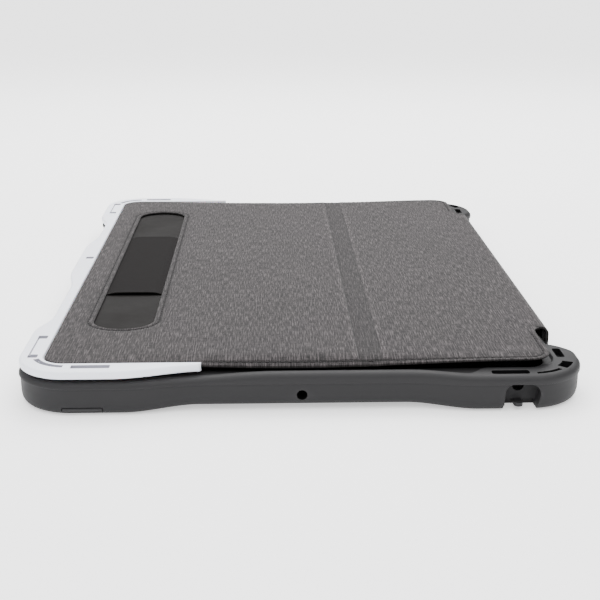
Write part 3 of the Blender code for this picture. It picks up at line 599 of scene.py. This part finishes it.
def make_bumper():
    flange = inner_loop(FLANGE_HALF, CAVITY_RADIUS - 2)
    cavity = inner_loop(CAVITY_HALF, CAVITY_RADIUS)
    lip = inner_loop(LIP_HALF, CAVITY_RADIUS - 2)

    def lifted(z):
        return lambda x, y: z + SIDE_LIFT * (1.0 - corner_weight(x, y))

    def flat(z):
        return lambda x, y: z

    def below(drop):
        return lambda x, y: rim_height(x, y) - drop

    sections = [(flange, lifted(0.0)), (outer_loop(4.2), lifted(0.0))]
    for turn in steps_between(0, 80, 8):
        a = math.radians(turn)
        sections.append((outer_loop(0.7 + 3.2 * (1 - math.sin(a))), lifted(3.0 * (1 - math.cos(a)))))
    sections.append((outer_loop(0.55), lifted(3.6)))
    sections.append((outer_loop(0.5), flat(6.5)))
    for inset, z in ((0.5, 9.25), (0.46, 9.42), (0.3, 9.55), (0.08, 9.62), (0.0, 9.8)):
        sections.append((outer_loop(inset), flat(z)))
    sections.append((outer_loop(0.0), below(RIM_ROUND[1] + 0.05)))
    for turn in steps_between(8, 90, 8):
        a = math.radians(turn)
        inset, drop = RIM_ROUND[0] * (1 - math.cos(a)), RIM_ROUND[1] * (1 - math.sin(a))
        sections.append((outer_loop(inset), below(drop)))
    sections += [(rim_loop(-0.3), below(0.0)), (rim_loop(0.0), below(0.1)), (rim_loop(0.15), below(0.35))]
    sections += [(rim_loop(0.6), flat(LIP_TOP)), (lip, flat(LIP_TOP)), (lip, flat(LIP_BOTTOM))]
    sections += [(cavity, flat(LIP_BOTTOM)), (cavity, flat(FLANGE_TOP)), (flange, flat(FLANGE_TOP))]
    rings = [[(x, y, height(x, y)) for x, y in loop] for loop, height in sections]
    bumper = add_mesh("bumper_shape", loft(rings, closed=True), BUMPER)
    outside = HALF_Y + 8
    wall_x, wall_y = CAVITY_HALF
    cuts = bmesh.new()
    prism_y(rounded_rectangle(*CHARGING_PORT), wall_y - 1, outside, cuts)
    for x in SPEAKER_X:
        speaker = rounded_rectangle((x - SPEAKER_HALF, x + SPEAKER_HALF), SPEAKER_Z, 1.5)
        prism_y(speaker, wall_y - 1, outside, cuts)
    prism_x(rounded_rectangle(*CONNECTOR_PORT), wall_x - 1, 92, cuts)
    for node in ("volume_up_button", "volume_down_button"):
        low, high = node_box(node)
        hole_y = (low.y - BUTTON_GAP, high.y + BUTTON_GAP)
        hole = rounded_rectangle(hole_y, (low.z - BUTTON_GAP, high.z + BUTTON_GAP), 1.0)
        prism_x(hole, -102, GAP - wall_x, cuts)
    prism_y(rounded_rectangle(POWER_X, POWER_Z, 0.8), -outside, POWER_FACE_Y + 0.5, cuts)
    prism_y(jack_arch(), -outside, JACK_WALL_Y, cuts)
    apply_boolean(bumper, cuts)
    slots = bmesh.new()
    prism_y(circle(*MICROPHONE), -outside, 1 - wall_y, slots)
    for side in (-1, 1):
        straight = sorted(side * y for y in RIB_STRAIGHT_Y)
        prism_z(rounded_rectangle(RIB_STRAIGHT_X, straight, 0.9, 4), RIB_BOTTOM, RIB_TOP, slots)
        beside = sorted(side * y for y in RIB_SIDE_Y)
        prism_z(rounded_rectangle(RIB_SIDE_X, beside, 0.9, 4), RIB_BOTTOM, RIB_TOP, slots)
        for radii, span in ((RIB_THIN, (50, 84)), (RIB_WIDE, (21, 43))):
            bend = arc(*RIB_CENTRE, radii[1], *span, 16) + arc(*RIB_CENTRE, radii[0], *reversed(span), 16)
            prism_z([(x, side * y) for x, y in bend], RIB_BOTTOM, RIB_TOP, slots)
    # The slots' inner faces take the darker copy of the rubber, as painted shade.
    apply_boolean(bumper, slots, inside=BUMPER_PAINTED_SHADE)
    deeper = bmesh.new()
    prism_y(circle(*JACK_HOLE), JACK_WALL_Y - 0.8, 1 - wall_y, deeper)
    stem = rounded_rectangle(POWER_X, (POWER_Z[0], POWER_STEM_TOP), 0.3)
    prism_y(stem, POWER_FACE_Y, GAP - wall_y, deeper)
    under = rounded_rectangle((JACK_X[0] + 0.9, JACK_X[1] - 0.9), (-3.0, JACK_WALL_BOTTOM), 0.5)
    prism_y(under, JACK_WALL_Y - 1, JACK_WALL_Y + 2.3, deeper)
    apply_boolean(bumper, deeper)
    soft_mouth = bevelled_mouth(jack_arch(), jack_arch(0.7), -HALF_Y - CORNER_PUSH[1] + 0.7)
    apply_boolean(bumper, soft_mouth)
    radius = (TONGUE_X[1] - TONGUE_X[0]) / 2
    tip = arc(sum(TONGUE_X) / 2, TONGUE_TIP_Y + radius, radius, 180, 360, 14)
    outline = [(TONGUE_X[0], JACK_WALL_Y + 2.7)] + tip + [(TONGUE_X[1], JACK_WALL_Y + 2.7)]
    apply_boolean(bumper, prism_z(outline, *TONGUE_Z), "UNION")
    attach(bumper, "shell")
    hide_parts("bumper")


def bevelled_mouth(inner, outer, start_y):
    """Cutter that flares from one outline to a larger one towards the outside, at the near wall."""
    return loft([[(x, start_y, z) for x, z in inner], [(x, start_y - 1.3, z) for x, z in outer]])


# ==== white keyboard frame
def frame_edge(y):
    """Half width of the frame along its left side: proud at the corners and at mid side."""
    corner = smoothstep(abs(y), 75, 92)
    middle = 1.0 - smoothstep(abs(y - FRAME_MIDDLE_Y), 20, 43)
    return FRAME_WAIST + FRAME_CORNER_STEP * corner + FRAME_MIDDLE_STEP * middle


def frame_sections():
    """Inner and outer edge of the frame, from the near arm's tip round to the far one."""
    inner_x = FABRIC_LEFT - GAP
    inner_y = FABRIC_HALF_Y + GAP
    end = []
    stations = steps_between(ARM_TIP_X, ARM_TIP_X - ARM_TIP_ROUND, 5)
    stations += steps_between(ARM_TIP_X - ARM_TIP_ROUND, -78.0, 30)[1:]
    for x in stations:
        reach = ARM_TIP_HALF_Y + (FRAME_HALF_Y - ARM_TIP_HALF_Y) * smoothstep(-x, 30, 64)
        to_tip = min((ARM_TIP_X - x) / ARM_TIP_ROUND, 1.0)
        reach -= ARM_TIP_ROUND * (1.0 - math.sqrt(1.0 - (1.0 - to_tip) ** 2))
        end.append(((x, -inner_y), (x, -reach)))
    widest = FRAME_WAIST + FRAME_CORNER_STEP
    outer = arc(FRAME_RADIUS - widest, FRAME_RADIUS - FRAME_HALF_Y, FRAME_RADIUS, 268, 182, 28)
    inner = arc(inner_x + FABRIC_RADIUS, FABRIC_RADIUS - inner_y, FABRIC_RADIUS, 268, 182, 28)
    end += list(zip(inner, outer))
    side = [((inner_x, y), (-frame_edge(y), y)) for y in steps_between(-114.0, 114.0, 114)]
    return end + side + [((i[0], -i[1]), (o[0], -o[1])) for i, o in reversed(end)]


def frame_profile(inner, outer):
    """Rounded cross-section of the frame between its inner and outer edges."""
    (ix, iy), (ox, oy) = inner, outer
    low, high = FRAME_Z
    width = math.hypot(ix - ox, iy - oy)
    ux, uy = (ix - ox) / width, (iy - oy) / width
    top = min(0.9, width * 0.4)
    bottom = min(0.8, width * 0.3)
    ring = [(ix, iy, low)]
    for turn in steps_between(90, 0, 5):
        a = math.radians(turn)
        d = bottom * (1 - math.cos(a))
        ring.append((ox + ux * d, oy + uy * d, low + bottom * (1 - math.sin(a))))
    for turn in steps_between(0, 90, 6):
        a = math.radians(turn)
        d = top * (1 - math.cos(a))
        ring.append((ox + ux * d, oy + uy * d, high - top * (1 - math.sin(a))))
    ring.append((ix - ux * 0.25, iy - uy * 0.25, high))
    ring.append((ix, iy, high - 0.25))
    return ring


def frame_slots():
    """Blind moulded slots in the frame's top face, with a narrow groove between each pair of notches."""
    cuts = bmesh.new()
    top = FRAME_Z[1]
    bottom = top - SLOT_DEPTH
    for side in (-1, 1):
        straight = sorted(side * y for y in SLOT_Y)
        prism_z(rounded_rectangle(SLOT_X, straight, 0.5, 3), bottom, ABOVE_FRAME, cuts)
        bend = arc(*FRAME_BEND, SLOT_BEND[1], *SLOT_BEND_SPAN, 20)
        bend += arc(*FRAME_BEND, SLOT_BEND[0], *reversed(SLOT_BEND_SPAN), 20)
        prism_z([(x, side * y) for x, y in bend], bottom, ABOVE_FRAME, cuts)
    for y in (*NOTCH_PAIRS[0], MIDDLE_NOTCH, *NOTCH_PAIRS[1]):
        x = -frame_edge(y) + 5.0
        notch = rounded_rectangle((x - 1.9, x + 1.5), (y - 1.6, y + 1.6), 0.5, 3)
        prism_z(notch, bottom, ABOVE_FRAME, cuts)
    for low, high in NOTCH_PAIRS:
        x = -frame_edge(low) + 3.5
        groove = rounded_rectangle((x - 0.3, x + 0.3), (low, high), 0.25, 2)
        prism_z(groove, top - GROOVE_DEPTH, ABOVE_FRAME, cuts)
    return cuts


def stadium(extra, steps=24):
    half = WINDOW_HALF_WIDTH + extra
    low, high = WINDOW_Y[0] - extra, WINDOW_Y[1] + extra
    depth = WINDOW_END_DEPTH + extra * 0.8
    angles = [math.pi * i / steps for i in range(steps + 1)]
    top = [(WINDOW_X + half * math.cos(a), high - depth + depth * math.sin(a)) for a in angles]
    bottom = [(WINDOW_X - half * math.cos(a), low + depth - depth * math.sin(a)) for a in angles]
    return top + bottom


def closed_stadium(extra):
    loop = stadium(extra)
    return resample(loop + [loop[0]])


def make_frame():
    rings = [frame_profile(*section) for section in frame_sections()]
    body = add_mesh("white_frame", loft(rings), WHITE)
    # The slots' inner faces take the darker copy of the white plastic, as painted shade.
    apply_boolean(body, frame_slots(), inside=FRAME_PAINTED_SHADE)
    plate = rounded_rectangle((FABRIC_LEFT - 1.5, TRAY_HIGH.x), (-PLATE_HALF_Y, PLATE_HALF_Y), 0.5, 2)
    apply_boolean(body, prism_z(plate, *TRAY_PLATE), "UNION")
    for side in (-1, 1):
        arm = sorted((side * (PLATE_HALF_Y - 0.5), side * (FABRIC_HALF_Y + 1.1)))
        apply_boolean(body, prism_z(rounded_rectangle((-84.0, -64.0), arm, 0.2, 1), *TRAY_PLATE), "UNION")
    apply_boolean(body, prism_z(stadium(4.0), 13.0, ABOVE_FRAME))
    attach(body, "keyboard")
    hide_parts("keyboard_tray")


# ==== cloth
def inside(point, polygon):
    x, y = point
    hit = False
    for (x0, y0), (x1, y1) in zip(polygon, polygon[1:] + polygon[:1]):
        if (y0 > y) != (y1 > y) and x < (x1 - x0) * (y - y0) / (y1 - y0) + x0:
            hit = not hit
    return hit


def running_lengths(path):
    lengths = [0.0]
    for (x0, y0), (x1, y1) in zip(path, path[1:]):
        lengths.append(lengths[-1] + math.hypot(x1 - x0, y1 - y0))
    return lengths


def resample(path):
    """Points at even steps along an open path."""
    points = [path[0]]
    for (x0, y0), (x1, y1) in zip(path, path[1:]):
        length = math.hypot(x1 - x0, y1 - y0)
        count = max(1, round(length / EDGE_SPACING))
        points += [(x0 + (x1 - x0) * i / count, y0 + (y1 - y0) * i / count) for i in range(1, count + 1)]
    return points


def cloth_mesh(name, outline, paths, holes, height, cloth_tone_and_painted_light):
    """Closed cloth slab whose top follows height(x, y); its lining side and edges are dark.

    outline and holes are closed loops, paths are open lines that the mesh follows closely.
    """
    points, edges = [], []

    def add_line(line, closed):
        start = len(points)
        points.extend(Vector(p) for p in line)
        edges.extend((start + i, start + i + 1) for i in range(len(line) - 1))
        if closed:
            edges.append((start + len(line) - 1, start))

    add_line(outline, True)
    for hole in holes:
        add_line(hole, True)
    for path in paths:
        add_line(path, False)

    def grid_lines(values):
        low, high = min(values), max(values)
        return steps_between(low, high, max(2, round((high - low) / CLOTH_GRID)))[1:-1]

    for x in grid_lines([p[0] for p in outline]):
        for y in grid_lines([p[1] for p in outline]):
            if inside((x, y), outline) and not any(inside((x, y), hole) for hole in holes):
                points.append(Vector((x, y)))
    found = delaunay_2d_cdt(points, edges, [], 0, 1e-5)
    flat, triangles = found[0], found[2]
    keep = []
    for triangle in triangles:
        centre = sum((flat[i] for i in triangle), Vector((0, 0))) / 3
        if inside(centre, outline) and not any(inside(centre, hole) for hole in holes):
            keep.append(triangle)
    bm = bmesh.new()
    layer = bm.loops.layers.uv.new("weave")
    shade = bm.verts.layers.float.new("cloth_tone_and_painted_light")
    used = sorted({i for triangle in keep for i in triangle})
    top, bottom = {}, {}
    for i in used:
        x, y = flat[i].x, flat[i].y
        top[i] = bm.verts.new((x, y, height(x, y)))
        bottom[i] = bm.verts.new((x, y, COVER_TOP - CLOTH - hem_sag(x, y)))
        # Per-vertex multiplier of the cloth's colour: darker bound edges, plus painted shade and painted
        # highlight.
        top[i][shade] = cloth_tone_and_painted_light(x, y)
        bottom[i][shade] = 0.5
    rim = {}
    for a, b, c in keep:
        bm.faces.new((top[a], top[b], top[c]))
        bm.faces.new((bottom[c], bottom[b], bottom[a])).material_index = 1
        for pair in ((a, b), (b, c), (c, a)):
            key = tuple(sorted(pair))
            rim[key] = None if key in rim else pair
    for pair in rim.values():
        if pair:
            a, b = pair
            bm.faces.new((top[b], top[a], bottom[a], bottom[b])).material_index = 1
    for face in bm.faces:
        for loop in face.loops:
            loop[layer].uv = (loop.vert.co.x, loop.vert.co.y)
    made = add_mesh(name, bm, FABRIC, CLOTH_SHARP)
    made.data.materials.append(EDGE)
    return made


def soft_edge(distance, seam=1.0):
    """Drop of the cloth's top towards a free edge, with the stitched groove a little way in."""
    fold = 0.0
    if distance < 0.6:
        fold = 0.42 * (1 - math.sqrt(max(0.0, 1 - (1 - distance / 0.6) ** 2)))
    groove = 0.20 * bell(distance - STITCH_INSET, 0.45)
    return fold + groove * seam


def window_distance(x, y):
    """Rough distance from the stylus window's edge."""
    low, high = WINDOW_Y[0] + WINDOW_END_DEPTH, WINDOW_Y[1] - WINDOW_END_DEPTH
    dx = abs(x - WINDOW_X)
    dy = max(low - y, y - high, 0.0)
    if dy == 0.0:
        return dx - WINDOW_HALF_WIDTH
    scaled = math.hypot(dx / WINDOW_HALF_WIDTH, dy / WINDOW_END_DEPTH)
    return (scaled - 1.0) * WINDOW_END_DEPTH


def crease(x):
    """Depth of the cloth's top at the two folds; the strip between them lies a little lower."""
    grooves = sum(0.30 * bell(x - at, 0.45) for at in (FOLD_OUTER_X, FOLD_INNER_X))
    ridges = sum(0.12 * bell(x - at, 0.8) for at in (FOLD_OUTER_X - 1.5, FOLD_INNER_X + 1.5))
    past_outer = smoothstep(x, FOLD_OUTER_X - 0.5, FOLD_OUTER_X)
    past_inner = smoothstep(x, FOLD_INNER_X, FOLD_INNER_X + 0.5)
    return grooves + 0.12 * past_outer * (1.0 - past_inner) - ridges


def hem_sag(x, y):
    """Past the boards, the hem hangs lower between the stiff ends of the cover."""
    past = max(abs(y) - HEM_START, 0.0) / (FABRIC_HALF_Y - HEM_START)
    return HEM_SAG * past * past * (1.0 - smoothstep(abs(x), 0.0, SAG_HALF_LENGTH))


def fold_painted_shade_and_highlight(x):
    """Painted shade and highlight across the folding strip: painted shade makes the strip a little darker and the
    fold lines darker still, and a painted highlight makes a pale ridge beside both lines.
    """
    cloth_tone_and_painted_light = 0.70 if FOLD_OUTER_X < x < FOLD_INNER_X else 1.0
    for at in (FOLD_OUTER_X - 0.9, FOLD_INNER_X + 0.9):
        cloth_tone_and_painted_light *= 1.0 + 0.5 * bell(x - at, 0.6)
    for at in (FOLD_OUTER_X, FOLD_INNER_X):
        cloth_tone_and_painted_light *= 1.0 - 0.45 * bell(x - at, 0.4)
    return cloth_tone_and_painted_light


def edge_tone_and_painted_groove_shade(edge, seam=1.0):
    """Tone of the cloth by its distance from a bound edge: darker at the edge itself, with painted shade along the
    stitched groove.
    """
    groove = 1.0 - 0.9 * seam * bell(edge - STITCH_INSET, 0.55)
    return groove * (0.35 + 0.65 * smoothstep(edge, 0.05, 0.7))


def seam_shown(x):
    """The hem's seam runs from the tip of the frame's arm onwards; before it, the frame covers it."""
    return smoothstep(x, ARM_TIP_X - 2.0, ARM_TIP_X + 2.0)


def pucker(x, y):
    """Gathers in the cloth beside the two ends of the stylus band, where it is sewn down."""
    beside = bell(abs(x - WINDOW_X) - WINDOW_HALF_WIDTH - 3.0, 3.0)
    nearness = sum(bell(y - at, 1.6) for at in (BAND_LOW.y, BAND_HIGH.y))
    return 0.22 * beside * nearness


def ripple(x, y):
    """Faint unevenness of cloth laminated on a board."""
    across = math.sin(x * 0.11 + 1.3 * math.sin(y * 0.031))
    along = math.sin(y * 0.05 + 0.7 * math.sin(x * 0.07))
    return 0.05 * across * along


def edge_insets():
    return (0.0, 0.12, 0.3, 0.6, 1.3, 1.7, STITCH_INSET, 2.3, 2.7)


def keyboard_half(inset, right):
    """Free edge of the keyboard half, from its near right corner round the left to its far right."""
    half = FABRIC_HALF_Y - inset
    radius = max(FABRIC_RADIUS - inset, 0.5)
    left = FABRIC_LEFT + inset
    path = [(right, -half)] + arc(left + radius, radius - half, radius, 270, 180, 8)
    path += arc(left + radius, half - radius, radius, 180, 90, 8) + [(right, half)]
    return resample(path)


def panel_half(inset, left, right):
    """Free edge of the panel with its cut-back corner: near fold, near corner, notch; mirrored for far."""
    half = FABRIC_HALF_Y - inset
    notch = NOTCH_X - inset
    radius = max(FABRIC_RADIUS - inset, 0.5)
    path = [(left, -half)] + arc(notch - radius, radius - half, radius, -90, 0, 8)
    path += [(notch, -NOTCH_Y + inset * 0.4)]
    path += arc(notch + 3.0, -NOTCH_Y + inset * 0.4 - 0.2, 3.0, 180, 100, 6)[1:]
    return resample([p for p in path if p[0] <= right])


def corner_distance(x, y, corner_x, side):
    """Distance to the free edge of a half of the cover whose rounded corners lie at corner_x."""
    dx = side * (corner_x - x)
    dy = FABRIC_HALF_Y - abs(y)
    if dx < FABRIC_RADIUS and dy < FABRIC_RADIUS:
        return FABRIC_RADIUS - math.hypot(FABRIC_RADIUS - dx, FABRIC_RADIUS - dy)
    return min(dx, dy)


def crease_lines(at):
    """Lines beside a fold for the mesh to follow, stopping short of the hems."""
    stop = FABRIC_HALF_Y - CREASE_STOP
    return [resample([(at + offset, -stop), (at + offset, stop)]) for offset in CREASE_OFFSETS]


def middle_line():
    """Where the two cloths meet, down the middle of the folding strip."""
    return resample([(STRIP_MIDDLE, FABRIC_HALF_Y), (STRIP_MIDDLE, -FABRIC_HALF_Y)])[1:-1]


def make_keyboard_cloth():
    right = STRIP_MIDDLE

    def edge(x, y):
        return corner_distance(x, y, FABRIC_LEFT, -1)

    def height(x, y):
        rim = window_distance(x, y)
        outer = max(edge(x, y), 0.0)
        welt = 0.14 * bell(rim - 0.9, 0.6)
        drop = soft_edge(outer, seam_shown(x)) + soft_edge(max(rim, 0.0)) - welt + pucker(x, y)
        flat = smoothstep(min(outer, rim), 3, 12)
        return COVER_TOP - LAMINATE - drop - crease(x) + ripple(x, y) * flat - hem_sag(x, y)

    def cloth_tone_and_painted_light(x, y):
        # Painted shade where the cloth gathers beside the band's ends; the window's edge is darker, with painted
        # shade along its stitched groove.
        painted_gather_shade = 1.0 - 1.6 * pucker(x, y)
        rim = edge_tone_and_painted_groove_shade(max(window_distance(x, y), 0.0))
        return fold_painted_shade_and_highlight(x) * edge_tone_and_painted_groove_shade(edge(x, y), seam_shown(x)) * rim * painted_gather_shade

    outline = keyboard_half(0.0, right)
    paths = [keyboard_half(inset, right - 0.01) for inset in edge_insets()[1:]]
    paths += [closed_stadium(extra) for extra in edge_insets()[1:]]
    paths += crease_lines(FOLD_OUTER_X)
    cloth = cloth_mesh("keyboard_cloth", outline + middle_line(), paths, [stadium(0.0)], height, cloth_tone_and_painted_light)
    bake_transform(cloth)
    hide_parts("keyboard_skin")


def make_panel_cloth():
    left = STRIP_MIDDLE

    def edge(x, y):
        if abs(y) < NOTCH_Y:
            return 99.0
        return corner_distance(x, y, NOTCH_X, 1)

    def height(x, y):
        flat = smoothstep(edge(x, y), 3, 12)
        drop = soft_edge(max(edge(x, y), 0.0)) + crease(x) + hem_sag(x, y)
        return COVER_TOP - LAMINATE - drop + ripple(x, y) * flat

    def cloth_tone_and_painted_light(x, y):
        return fold_painted_shade_and_highlight(x) * edge_tone_and_painted_groove_shade(edge(x, y))

    lower = panel_half(0.0, left, 200.0)
    outline = lower + [(SEAM_X, -SPINE_HALF_Y), (SEAM_X, SPINE_HALF_Y)]
    outline += [(x, -y) for x, y in reversed(lower)]
    paths = []
    for inset in edge_insets()[1:]:
        path = panel_half(inset, left + 0.01, NOTCH_X)
        paths += [path, [(x, -y) for x, y in path]]
    paths += crease_lines(FOLD_INNER_X)
    cloth = cloth_mesh("panel_cloth", outline + middle_line(), paths, [], height, cloth_tone_and_painted_light)
    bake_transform(cloth)
    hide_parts("fold_skin", "panel_skin")


def cloth_strip(name, profile, half_length, thickness, start_u):
    """Cloth of constant profile along Y, from a centre line in X and Z; the weave runs on from start_u."""
    bm = bmesh.new()
    layer = bm.loops.layers.uv.new("weave")
    shade = bm.verts.layers.float.new("cloth_tone_and_painted_light")
    lengths = running_lengths(profile)
    offset_profile = []
    for i, (x, z) in enumerate(profile):
        x0, z0 = profile[max(i - 1, 0)]
        x1, z1 = profile[min(i + 1, len(profile) - 1)]
        length = math.hypot(x1 - x0, z1 - z0)
        nx, nz = (z1 - z0) / length, -(x1 - x0) / length
        offset_profile.append((x + nx * thickness, z + nz * thickness))
    ys = steps_between(-half_length, half_length, 60)
    outer = [[bm.verts.new((x, y, z)) for x, z in profile] for y in ys]
    inner = [[bm.verts.new((x, y, z)) for x, z in offset_profile] for y in ys]
    count = len(profile)
    place = {}
    for row, y in enumerate(ys):
        for i in range(count):
            place[outer[row][i]] = place[inner[row][i]] = (start_u + lengths[i], y)
    for row in range(len(ys) - 1):
        for i in range(count - 1):
            bm.faces.new((outer[row][i], outer[row][i + 1], outer[row + 1][i + 1], outer[row + 1][i]))
            bm.faces.new((inner[row][i], inner[row + 1][i], inner[row + 1][i + 1], inner[row][i + 1]))
        for i in (0, count - 1):
            bm.faces.new((outer[row][i], outer[row + 1][i], inner[row + 1][i], inner[row][i]))
    for row in (0, len(ys) - 1):
        for i in range(count - 1):
            bm.faces.new((outer[row][i], outer[row][i + 1], inner[row][i + 1], inner[row][i]))
    for vert in bm.verts:
        vert[shade] = 0.4 + 0.6 * smoothstep(half_length - abs(vert.co.y), 0.0, 0.8)
    for face in bm.faces:
        for loop in face.loops:
            loop[layer].uv = place[loop.vert]
    return add_mesh(name, bm, FABRIC, CLOTH_SHARP)


def make_spine_cloth():
    """Cloth over the spine in two lengths, each bending across one joint."""
    top, side = COVER_TOP - LAMINATE, SPINE_TOP_X
    middle = (COVER_TOP + SPINE_LOW_Z) / 2
    roll = 3.0
    start = SEAM_X
    upper = [(start + (side - roll - start) * i / 4, top) for i in range(4)]
    upper += arc(side - roll, top - roll, roll, 90, 0, 8)
    upper += [(side, z) for z in steps_between(top - roll, middle, 6)[1:]]
    cloth = cloth_strip("spine_cloth_upper", upper, SPINE_HALF_Y, CLOTH * 0.9, start)
    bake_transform(cloth)
    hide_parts("spine_skin")
    lower = [(side, z) for z in steps_between(middle, SPINE_LOW_Z - 0.9, 8)]
    lower += arc(side - 1.9, SPINE_LOW_Z - 0.9, 1.9, 0, -80, 7)[1:]
    cloth = cloth_strip("spine_cloth_lower", lower, SPINE_HALF_Y, CLOTH * 0.7, start + 20)
    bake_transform(cloth)


# ==== stitches
def stitch_line(bm, path, height):
    """Short rounded stitches at an even pitch along a path."""
    lengths = running_lengths(path)
    total = lengths[-1]
    count = int(total / STITCH_PITCH)

    def at(distance):
        distance = min(max(distance, 0.0), total)
        for i in range(len(path) - 1):
            if distance <= lengths[i + 1] or i == len(path) - 2:
                span = lengths[i + 1] - lengths[i] or 1.0
                t = (distance - lengths[i]) / span
                (x0, y0), (x1, y1) = path[i], path[i + 1]
                return Vector((x0 + (x1 - x0) * t, y0 + (y1 - y0) * t, 0))

    for number in range(count):
        middle = (number + 0.5) * total / count
        half = STITCH_LENGTH / 2
        ends = [at(middle + half * s) for s in (-1.0, -0.6, 0.0, 0.6, 1.0)]
        along = (ends[-1] - ends[0]).normalized()
        side = Vector((-along.y, along.x, 0))
        rings = []
        for spot, lift, radius in zip(ends, (-0.10, 0.03, 0.08, 0.03, -0.10), (0.08, 0.19, 0.22, 0.19, 0.08)):
            centre = spot + Vector((0, 0, height(spot.x, spot.y) + lift))
            rings.append([centre + side * radius * math.cos(a) + Vector((0, 0, radius * 0.8 * math.sin(a)))
                          for a in (math.pi * 2 * k / 6 for k in range(6))])
        loft(rings, into=bm)


def make_stitches():
    def level(x, y):
        return COVER_TOP - 0.30 - hem_sag(x, y)

    window = bmesh.new()
    loop = stadium(STITCH_INSET, 30)
    stitch_line(window, loop + [loop[0]], level)
    made = add_mesh("window_stitches", window, THREAD)
    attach(made, "keyboard")
    edge = FABRIC_HALF_Y - STITCH_INSET
    spans = {
        "keyboard": (ARM_TIP_X, FOLD_OUTER_X - 1.5),
        "strip": (FOLD_OUTER_X + 1.5, FOLD_INNER_X - 1.5),
    }
    for body, (low, high) in spans.items():
        bm = bmesh.new()
        for side in (-1, 1):
            stitch_line(bm, [(low, side * edge), (high, side * edge)], level)
        made = add_mesh(f"edge_stitches_{body}", bm, THREAD)
        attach(made, body)
    bm = bmesh.new()
    path = [p for p in panel_half(STITCH_INSET, FOLD_INNER_X + 1.5, NOTCH_X) if p[1] < -NOTCH_Y + 0.5]
    stitch_line(bm, path, level)
    stitch_line(bm, [(x, -y) for x, y in path], level)
    made = add_mesh("edge_stitches_panel", bm, THREAD)
    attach(made, "panel")


# ==== stylus band
def make_band():
    """Flat elastic across the window: it bows up between its ends, and its near edge stands proud."""
    half = BAND_HIGH.x - WINDOW_X
    inner = WINDOW_HALF_WIDTH - 0.4
    rings = []
    ys = steps_between(BAND_LOW.y, BAND_HIGH.y, 40)
    for y in ys:
        end = min(y - BAND_LOW.y, BAND_HIGH.y - y)
        curl = 0.22 * math.exp(-end / 2.0)
        thick = 0.62 - 0.2 * math.exp(-end / 0.5)
        upper, lower = [], []
        for x in steps_between(-half, half, 28):
            t = min(abs(x) / inner, 1.0)
            rise = (1.0 - t ** 6) * (0.62 + curl)
            centre = 14.95 + rise
            grow = thick / 2 if abs(x) < inner - 1 else 0.14
            upper.append((WINDOW_X + x, y, centre + grow))
            lower.append((WINDOW_X + x, y, centre - grow))
        rings.append(upper + list(reversed(lower)))
    band = add_mesh("stylus_band", loft(rings), ELASTIC, 45)
    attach(band, "keyboard")
    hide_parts("elastic_band")


# ==== CAD nodes kept as they are
def finish_cad_nodes():
    by_slot = {"shell": SHELL, "membrane": SILICONE, "steel": STEEL, "contact": GOLD, "board": BOARD,
               "flex": COPPER, "lining": LINING, "frame": WHITE, "window": WINDOW, "key": KEYCAP,
               "circuit": CIRCUIT, "bumper": BUMPER, "fabric": FABRIC, "elastic": ELASTIC}
    for part in frame["record"]["subparts"]:
        node = frame["nodes"][part["node"]]
        node.data.materials.clear()
        node.data.materials.append(by_slot[part["material_slot"]])
        node.data.shade_smooth()
        node.data.set_sharp_from_angle(angle=math.radians(35))
        if part["material_slot"] in ("key", "bumper") or part["node"] in ("kickstand_plate", "rear_shell"):
            bevel = node.modifiers.new("soft_edges", "BEVEL")
            bevel.width = 0.25 * MM
            bevel.segments = 2
            bevel.limit_method = "ANGLE"
            bevel.angle_limit = math.radians(40)


# ==== stage, light and camera
def make_stage():
    """Plain white table that glows a little, under an even white studio."""
    bpy.ops.mesh.primitive_plane_add(size=8.0, location=(0, 0, FLOOR_Z_M))
    floor = bpy.context.object
    floor.name = "studio_floor"
    made, tree, shader = new_material("studio_floor", 0.9)
    speckle = noise(tree, coordinates(tree), 0.02, 2.0, 0.5)
    tree.links.new(mix(tree, speckle, (0.86, 0.86, 0.87), (0.90, 0.90, 0.90)), shader.inputs["Base Color"])
    shader.inputs["Emission Color"].default_value = (1.0, 1.0, 1.0, 1.0)
    shader.inputs["Emission Strength"].default_value = FLOOR_GLOW
    floor.data.materials.append(made)
    world = bpy.data.worlds.new("studio")
    bpy.context.scene.world = world
    world.use_nodes = True
    background = world.node_tree.nodes["Background"]
    background.inputs["Color"].default_value = (1.0, 1.0, 1.0, 1.0)
    background.inputs["Strength"].default_value = WORLD_GLOW


def add_light(name, kind, energy, place):
    data = bpy.data.lights.new(name, kind)
    data.energy = energy
    made = bpy.data.objects.new(name, data)
    made.location = place
    bpy.context.scene.collection.objects.link(made)
    return made


def make_sun(name, tilt, turn, angle, strength):
    """Wide soft light; tilt is from straight overhead and turn is about the vertical, in degrees."""
    made = add_light(name, "SUN", strength, (0.0, 0.0, 2.0))
    made.data.angle = math.radians(angle)
    made.rotation_euler = (math.radians(tilt), 0.0, math.radians(turn))


def make_softbox(name, place, size, power):
    """Square softbox that faces the origin; place and size are in metres."""
    made = add_light(name, "AREA", power, place)
    made.data.shape = "SQUARE"
    made.data.size = size
    made.rotation_euler = Vector(place).to_track_quat("Z", "Y").to_euler()


def make_lights():
    make_sun("overhead_soft", 10.0, -25.0, 100.0, 5.6)
    make_softbox("back_softbox", (0.05, 0.42, 0.62), 0.7, 7.5)
    make_softbox("front_fill", (-0.35, -0.9, 0.5), 0.6, 0.8)


def make_camera():
    data = bpy.data.cameras.new("camera")
    data.sensor_width = 36.0
    data.lens = 69.36
    data.clip_start = 0.01
    made = bpy.data.objects.new("camera", data)
    made.location = Vector((-10.83, -492.67, 152.06)) * MM
    made.rotation_euler = (math.radians(90 - 17.34), 0.0, math.radians(-1.6))
    bpy.context.scene.collection.objects.link(made)
    bpy.context.scene.camera = made


make_camera()
make_stage()
make_lights()
finish_cad_nodes()
make_bumper()
make_frame()
make_keyboard_cloth()
make_panel_cloth()
make_spine_cloth()
make_stitches()
make_band()
